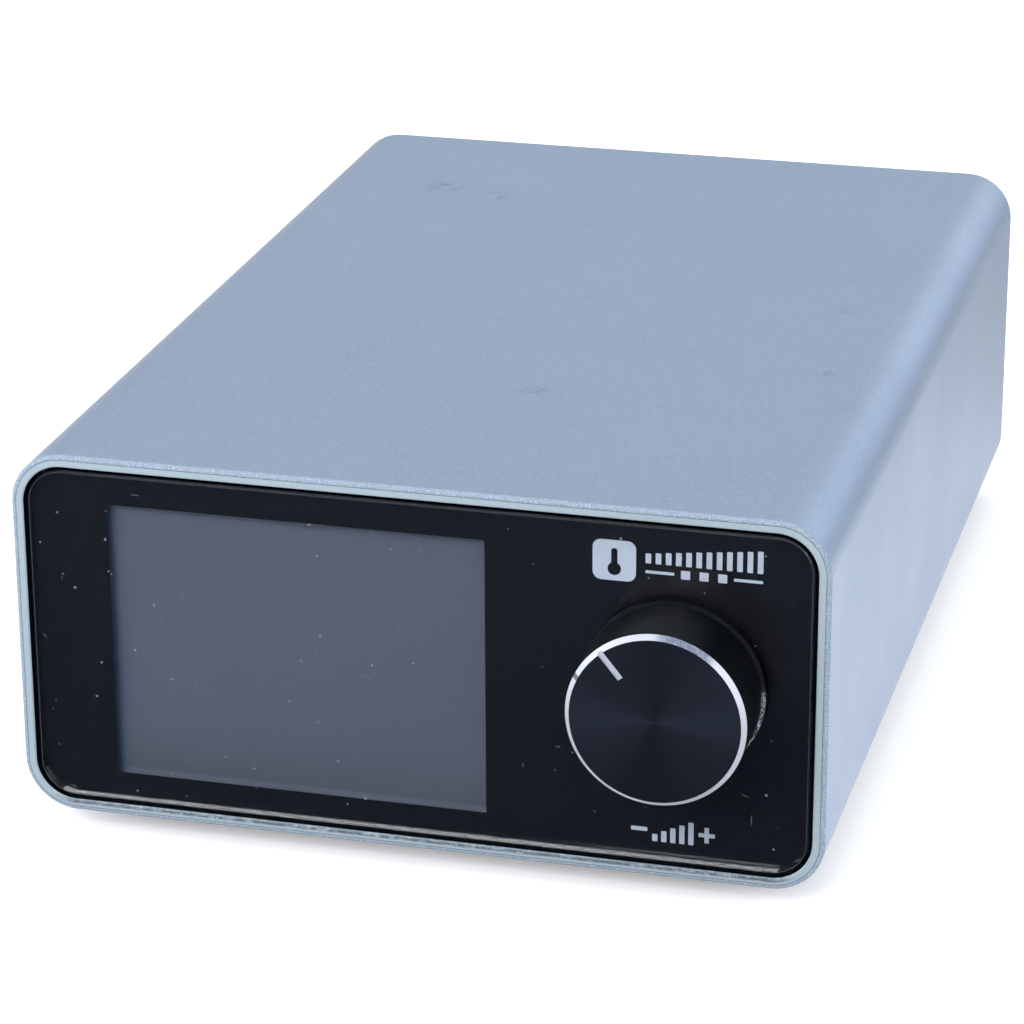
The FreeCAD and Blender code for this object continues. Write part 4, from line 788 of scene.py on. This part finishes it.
def makeMarks():
    y = maskLow.y + printGap
    mesh = bmesh.new()
    x, z = caseMid.x + badgeLook["x"], caseMid.z + badgeLook["rise"]
    bulbZ = z - badgeLook["height"] / 2 + badgeLook["bulbRise"]
    stemZ = bulbZ + badgeLook["stemHeight"] / 2
    edges = roundedOutline(mesh, x, y, z, badgeLook["width"], badgeLook["height"], badgeLook["corner"])
    fillAndThicken(mesh, edges, printGap)
    left, foot = caseMid.x + scaleLook["x"], caseMid.z + scaleLook["foot"]
    rise = (scaleLook["tallest"] - scaleLook["shortest"]) / (scaleLook["count"] - 1)
    strokes = []
    for i in range(scaleLook["count"]):
        height = scaleLook["shortest"] + i * rise
        strokes.append((left + i * scaleLook["pitch"], foot + height / 2, scaleLook["strokeWidth"], height))
    span = (scaleLook["count"] - 1) * scaleLook["pitch"]
    rowX, rowZ = left + span / 2, caseMid.z + scaleLook["rise"]
    dashX = (span + scaleLook["strokeWidth"] - scaleLook["dashLength"]) / 2
    for side in (-1, 0, 1):
        squareX = rowX + side * scaleLook["squarePitch"]
        strokes.append((squareX, rowZ, scaleLook["square"], scaleLook["square"]))
    for side in (-1, 1):
        strokes.append((rowX + side * dashX, rowZ, scaleLook["dashLength"], scaleLook["dashHeight"]))
    middleX, middleZ = caseMid.x + levelLook["x"], caseMid.z + levelLook["rise"]
    low = middleZ - levelLook["tallest"] / 2
    rise = (levelLook["tallest"] - levelLook["shortest"]) / (levelLook["bars"] - 1)
    for i in range(levelLook["bars"]):
        height = levelLook["shortest"] + i * rise
        barX = middleX + (i - (levelLook["bars"] - 1) / 2) * levelLook["pitch"]
        strokes.append((barX, low + height / 2, levelLook["barWidth"], height))
    for side in (-1, 1):
        signX = middleX + side * levelLook["signReach"]
        strokes.append((signX, middleZ, levelLook["signSize"], levelLook["signWidth"]))
    for strokeX, strokeZ, width, height in strokes:
        fillAndThicken(mesh, bar(mesh, strokeX, y, strokeZ, width, height), printGap)
    # the plus's upright is two short pieces, clear of its crossbar
    arm = (levelLook["signSize"] - levelLook["signWidth"]) / 2
    for way in (-1, 1):
        armZ = middleZ + way * (levelLook["signWidth"] + arm) / 2
        edges = bar(mesh, middleX + levelLook["signReach"], y, armZ, levelLook["signWidth"], arm, 0.02 * mm)
        fillAndThicken(mesh, edges, printGap)
    newPiece("panelMarks", mesh, "case", finishes["white_print"])
    mesh = bmesh.new()
    layer = badgeLook["layer"] * printGap
    y = maskLow.y + layer
    fillAndThicken(mesh, circleOutline(mesh, x, y, bulbZ, badgeLook["bulb"], 32), layer)
    stemCorner = badgeLook["stemWidth"] * badgeLook["stemRound"]
    stemY = y - badgeLook["stemAhead"] * printGap
    stem = bar(mesh, x, stemY, stemZ, badgeLook["stemWidth"], badgeLook["stemHeight"], stemCorner)
    fillAndThicken(mesh, stem, layer)
    newPiece("badgeThermometer", mesh, "case", finishes["black_print"])


makePrintedMask()
makeMarks()
print("the print behind the glass is made")


# marks behind

rearLook = {
    "jackRise": -9.6 * mm,
    "bars": ((3.4, 0.0), (2.3, -0.85), (1.2, -1.7)),   # width and rise of the earth symbol's bars, in mm
    "barHeight": 0.42 * mm,
    "stem": 1.7 * mm,
    "thickness": 0.02 * mm,
    "corner": 0.1 * mm,
    "pivotDepth": 2.4 * mm,      # the rocker's pivot, behind the inlet's face
    "crown": 3.2 * mm,
    "tilt": math.radians(10.0),
    "markRise": 5.2 * mm,        # along the rocker's faces, from the middle
    "markHeight": 3.2 * mm,
    "markWidth": 0.55 * mm,
}


def makeRearMarks():
    # an earth symbol under the jack, and the usual line and ring on the rocker's two faces
    jackLow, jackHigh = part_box("jack_insulator")
    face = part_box("rear_panel")[1].y - rearLook["thickness"] / 4
    x = (jackLow.x + jackHigh.x) / 2
    z = (jackLow.z + jackHigh.z) / 2 + rearLook["jackRise"]
    mesh = bmesh.new()
    height = rearLook["barHeight"]
    for width, rise in rearLook["bars"]:
        edges = bar(mesh, x, face, z + rise * mm, width * mm, height, rearLook["corner"])
        fillAndThicken(mesh, edges, rearLook["thickness"])
    stemZ = z + height / 2 + rearLook["stem"] / 2
    edges = bar(mesh, x, face, stemZ, height, rearLook["stem"], rearLook["corner"] / 2)
    fillAndThicken(mesh, edges, rearLook["thickness"])
    newPiece("earthMark", mesh, "case", finishes["white_print"])
    rockerLow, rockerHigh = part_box("power_rocker")
    inletLow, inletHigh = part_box("inlet_housing")
    pivotY = inletHigh.y - rearLook["pivotDepth"]
    pivot = Vector(((rockerLow.x + rockerHigh.x) / 2, pivotY, (inletLow.z + inletHigh.z) / 2))
    mesh = bmesh.new()
    rise, width, height = rearLook["markRise"], rearLook["markWidth"], rearLook["markHeight"]
    for way in (1, -1):
        before = set(mesh.verts[:])
        if way == 1:
            edges = bar(mesh, 0.0, 0.0, rise, width, height, rearLook["corner"])
        else:
            edges = circleOutline(mesh, 0.0, 0.0, -rise, height / 2, 32)
            edges += circleOutline(mesh, 0.0, 0.0, -rise, height / 2 - width, 32)
        fillAndThicken(mesh, edges, rearLook["thickness"])
        fresh = [vert for vert in mesh.verts if vert not in before]
        lay = Matrix.Translation(pivot) @ Matrix.Rotation(rearLook["tilt"], 4, "X")
        lay = lay @ Matrix.Translation((0.0, rearLook["crown"] - rearLook["thickness"] / 4, 0.0))
        lay = lay @ Matrix.Rotation(-way * rearLook["tilt"], 4, "X")
        bmesh.ops.transform(mesh, matrix=lay, verts=fresh)
    newPiece("rockerMarks", mesh, "rocker", finishes["white_print"])


makeRearMarks()
print("the marks behind are made")


# dust on the glass

dustLook = {
    "colour": (120, 124, 134),
    "flakes": 100,
    "smallest": 0.08 * mm,
    "largest": 0.24 * mm,
    "thickness": 0.03 * mm,
    "hairs": 9,
    "hairLength": 0.9 * mm,
    "hairWidth": 0.035 * mm,
    "margin": 1.5 * mm,          # clear of the glass's outline
    "leftward": 1.25,            # over 1, more of it lies on the left
    "fineness": 2.2,             # over 1, more of it is small
    "knobClear": 9.0 * mm,
    "seed": 7,
}
edgeLook = {   # the thin line of light that the glass's bevel catches all round
    "colour": (62, 67, 78),
    "insets": (0.30 * mm, 0.36 * mm),
    "proud": 0.01 * mm,
    "thickness": 0.006 * mm,
}


def makeDust():
    # flakes and short hairs, lying on the glass's front face
    mesh = bmesh.new()
    chance = random.Random(dustLook["seed"])
    margin = dustLook["margin"]
    width = glassHigh.x - glassLow.x - 2 * margin
    height = glassHigh.z - glassLow.z - 2 * margin
    grow = dustLook["largest"] - dustLook["smallest"]
    front = glassLow.y - dustLook["thickness"] / 2
    for i in range(dustLook["flakes"] + dustLook["hairs"]):
        x = glassLow.x + margin + width * chance.random() ** dustLook["leftward"]
        z = glassLow.z + margin + height * chance.random()
        size = dustLook["smallest"] + grow * chance.random() ** dustLook["fineness"]
        turn = chance.uniform(0.0, math.pi)
        if i < dustLook["flakes"]:
            reach = (size, size * chance.uniform(0.6, 1.0))
        else:
            reach = (dustLook["hairLength"] * chance.uniform(0.4, 1.0), dustLook["hairWidth"])
        if math.hypot(x - knobMid.x, z - knobMid.z) < dustLook["knobClear"]:
            continue
        scale = Matrix.Diagonal((reach[0], dustLook["thickness"], reach[1], 1.0))
        spot = Matrix.Translation((x, front, z)) @ Matrix.Rotation(turn, 4, "Y") @ scale
        bmesh.ops.create_icosphere(mesh, subdivisions=1, radius=1.0, matrix=spot)
    material = plainFinish("dustGrey", dustLook["colour"], 0.9, bump=0.0)
    newPiece("glassDust", mesh, "case", material)


def makeGlassEdgeHighlight():
    # painted highlight: a thin pale ring lying just in front of the glass, along its bevel
    mesh = bmesh.new()
    middle = (glassLow + glassHigh) / 2
    size = glassHigh - glassLow
    front = glassLow.y - edgeLook["proud"]
    edges = []
    for inset in edgeLook["insets"]:
        edges += roundedOutline(mesh, middle.x, front, middle.z, size.x - 2 * inset, size.z - 2 * inset,
                                glassCorner - inset, 12)
    fillAndThicken(mesh, edges, edgeLook["thickness"])
    material = plainFinish("paintedEdgeHighlight", edgeLook["colour"], 0.6, bump=0.0)
    newPiece("glassEdgeHighlight", mesh, "case", material)


makeDust()
makeGlassEdgeHighlight()
print("dust lies on the glass")


# stage, light and camera

stageLook = {
    "size": 6.0,
    "colour": (0.93, 0.93, 0.93),
    "frontCloth": (0.035, 0.045, 0.065),  # what shiny faces see of the floor in front
    "clothReach": 0.30,
    "clothGap": 0.003,
    "sideGlow": 0.42,                     # and beside the right wall, fading over a reach
    "sideReach": 0.08,
    "glowTint": (1.0, 0.93, 0.89),
    "farTone": 0.62,
    "farFrom": 0.10,                      # behind the front rim
    "farReach": 0.27,
    "lift": 0.30,                         # takes the shadows off the floor the camera sees
    "seen": (1.0, 1.0, 1.0),
    "horizon": 0.05,
    "upper": 0.92,
    "tint": (0.93, 0.97, 1.0),
    "horizonTint": (0.55, 0.80, 1.30),
    "hazeHeights": (0.01, 0.10),          # as the height of a direction's unit vector
    "tintHeights": (0.09, 0.02),
    "cardWay": (0.42, 0.87, 0.26),        # towards a brighter part of the room, behind on the right
    "cardGain": 0.70,
    "cardSpread": (0.91, 0.97),           # as the cosine of the angle from it
    "frontWay": (-0.22, -0.90, 0.37),     # the dark part of the room, behind the camera
    "frontDark": 0.85,
    "frontSpread": (0.70, 0.90),
}


def towards(tree, vector, way):
    dot = newNode(tree, "ShaderNodeVectorMath", operation="DOT_PRODUCT")
    tree.links.new(vector, dot.inputs[0])
    dot.inputs[1].default_value = Vector(way).normalized()
    return dot.outputs["Value"]


def makeStage():
    mesh = bmesh.new()
    bmesh.ops.create_grid(mesh, x_segments=1, y_segments=1, size=stageLook["size"] / 2)
    data = bpy.data.meshes.new("floor")
    mesh.to_mesh(data)
    mesh.free()
    floor = bpy.data.objects.new("floor", data)
    scene.collection.objects.link(floor)
    material, tree, shader = newMaterial("paleFloor", roughness=0.9, Specular_IOR_Level=0.0)
    place = objectCoords(tree, centre=(caseMid.x, rimY, 0.0))
    parts = split(tree, place)
    ahead = mapRange(tree, parts[1], stageLook["clothGap"], -stageLook["clothGap"])
    distance = newNode(tree, "ShaderNodeVectorMath", operation="LENGTH")
    tree.links.new(place, distance.inputs[0])
    near = mapRange(tree, distance.outputs["Value"], stageLook["clothReach"], stageLook["clothReach"] * 0.5)
    path = newNode(tree, "ShaderNodeLightPath")
    shiny = path.outputs["Is Glossy Ray"]
    cloth = maths(tree, "MULTIPLY", shiny, maths(tree, "MULTIPLY", ahead, near))
    beside = maths(tree, "SUBTRACT", parts[0], caseHigh.x - caseMid.x)
    far = mapRange(tree, parts[1], stageLook["farFrom"], stageLook["farReach"])
    pale = [*stageLook["colour"], 1.0]
    dim = [value * stageLook["farTone"] for value in stageLook["colour"]] + [1.0]
    farRight = maths(tree, "MULTIPLY", far, maths(tree, "GREATER_THAN", beside, 0.0))
    shade = mixColour(tree, maths(tree, "MULTIPLY", farRight, shiny), pale, dim)
    shade = mixColour(tree, cloth, shade, (*stageLook["frontCloth"], 1.0))
    tree.links.new(shade, shader.inputs["Base Color"])
    glow = mapRange(tree, beside, stageLook["sideReach"], 0.0, 0.0, stageLook["sideGlow"])
    glow = maths(tree, "MULTIPLY", glow, maths(tree, "GREATER_THAN", beside, 0.0))
    glow = maths(tree, "MULTIPLY", glow, maths(tree, "SUBTRACT", 1.0, far))
    glow = maths(tree, "MULTIPLY", glow, shiny)
    lift = maths(tree, "MULTIPLY_ADD", path.outputs["Is Camera Ray"], stageLook["lift"], glow)
    shader.inputs["Emission Color"].default_value = (*stageLook["glowTint"], 1.0)
    tree.links.new(lift, shader.inputs["Emission Strength"])
    data.materials.append(material)


def makeRoom():
    # a pale room: darker at the horizon and behind the camera, brighter behind on the right
    world = bpy.data.worlds.new("softRoom")
    world.use_nodes = True
    tree = world.node_tree
    background = tree.nodes["Background"]
    way = newNode(tree, "ShaderNodeTexCoord").outputs["Generated"]
    height = split(tree, way)[2]
    strength = mapRange(tree, height, *stageLook["hazeHeights"], stageLook["horizon"], stageLook["upper"])
    low = mapRange(tree, height, *stageLook["tintHeights"])
    tint = mixColour(tree, low, (*stageLook["tint"], 1.0), (*stageLook["horizonTint"], 1.0))
    toCard = towards(tree, way, stageLook["cardWay"])
    card = mapRange(tree, toCard, *stageLook["cardSpread"], 0.0, stageLook["cardGain"])
    strength = maths(tree, "ADD", strength, card)
    toFront = towards(tree, way, stageLook["frontWay"])
    front = mapRange(tree, toFront, *stageLook["frontSpread"], 1.0, 1.0 - stageLook["frontDark"])
    strength = maths(tree, "MULTIPLY", strength, front)
    seen = newNode(tree, "ShaderNodeLightPath").outputs["Is Camera Ray"]
    tree.links.new(mixColour(tree, seen, tint, (*stageLook["seen"], 1.0)), background.inputs["Color"])
    tree.links.new(mixValue(tree, seen, strength, 1.0), background.inputs["Strength"])
    scene.world = world


lampLook = {
    "overhead": {
        "place": (-0.15, 0.25, 1.2),
        "size": (1.2, 1.0),
        "power": 5.0,
        "colour": (0.95, 0.98, 1.0),
    },
    "leftCard": {
        "place": (-0.55, -0.40, 0.25),
        "size": (0.4, 0.4),
        "power": 1.6,
        "colour": (1.0, 1.0, 0.98),
    },
    "frontCard": {
        "place": (-0.30, -1.10, 0.75),
        "size": (0.8, 0.6),
        "power": 12.0,
        "colour": (0.95, 0.98, 1.0),
    },
    "rightCard": {
        "place": (1.0, -0.15, 0.45),
        "size": (0.7, 0.6),
        "power": 2.6,
        "colour": (1.0, 0.99, 0.98),
    },
}


def makeLamps():
    for name, look in lampLook.items():
        lamp = bpy.data.lights.new(name, "AREA")
        lamp.shape = "RECTANGLE"
        lamp.size, lamp.size_y = look["size"]
        lamp.energy = look["power"]
        lamp.color = look["colour"]
        holder = bpy.data.objects.new(name, lamp)
        scene.collection.objects.link(holder)
        place = Vector(look["place"])
        holder.location = place
        holder.rotation_euler = (caseMid - place).to_track_quat("-Z", "Y").to_euler()


cameraLook = {
    "azimuth": 14.97,
    "elevation": 21.34,
    "roll": -0.26,
    "distance": 0.4719,
    "aim": (12.9 * mm, 0.0, 22.6 * mm),   # from the middle of the front rim
    "lens": 136.4,
    "sensor": 36.0,
    "nearest": 0.01,
}


def makeCamera():
    data = bpy.data.cameras.new("camera")
    data.lens = cameraLook["lens"]
    data.sensor_width = cameraLook["sensor"]
    data.clip_start = cameraLook["nearest"]
    camera = bpy.data.objects.new("camera", data)
    scene.collection.objects.link(camera)
    aim = Vector((caseMid.x, rimY, caseMid.z)) + Vector(cameraLook["aim"])
    azimuth = math.radians(cameraLook["azimuth"])
    elevation = math.radians(cameraLook["elevation"])
    level = math.cos(elevation)
    away = Vector((math.sin(azimuth) * level, -math.cos(azimuth) * level, math.sin(elevation)))
    turn = (-away).to_track_quat("-Z", "Y").to_matrix()
    turn = turn @ Matrix.Rotation(math.radians(cameraLook["roll"]), 3, "Z")
    camera.matrix_world = Matrix.Translation(aim + away * cameraLook["distance"]) @ turn.to_4x4()
    scene.camera = camera


makeStage()
makeRoom()
makeLamps()
makeCamera()
scene.view_settings.view_transform = "Standard"
print("stage, lamps and camera are set")

print("all pieces are made")
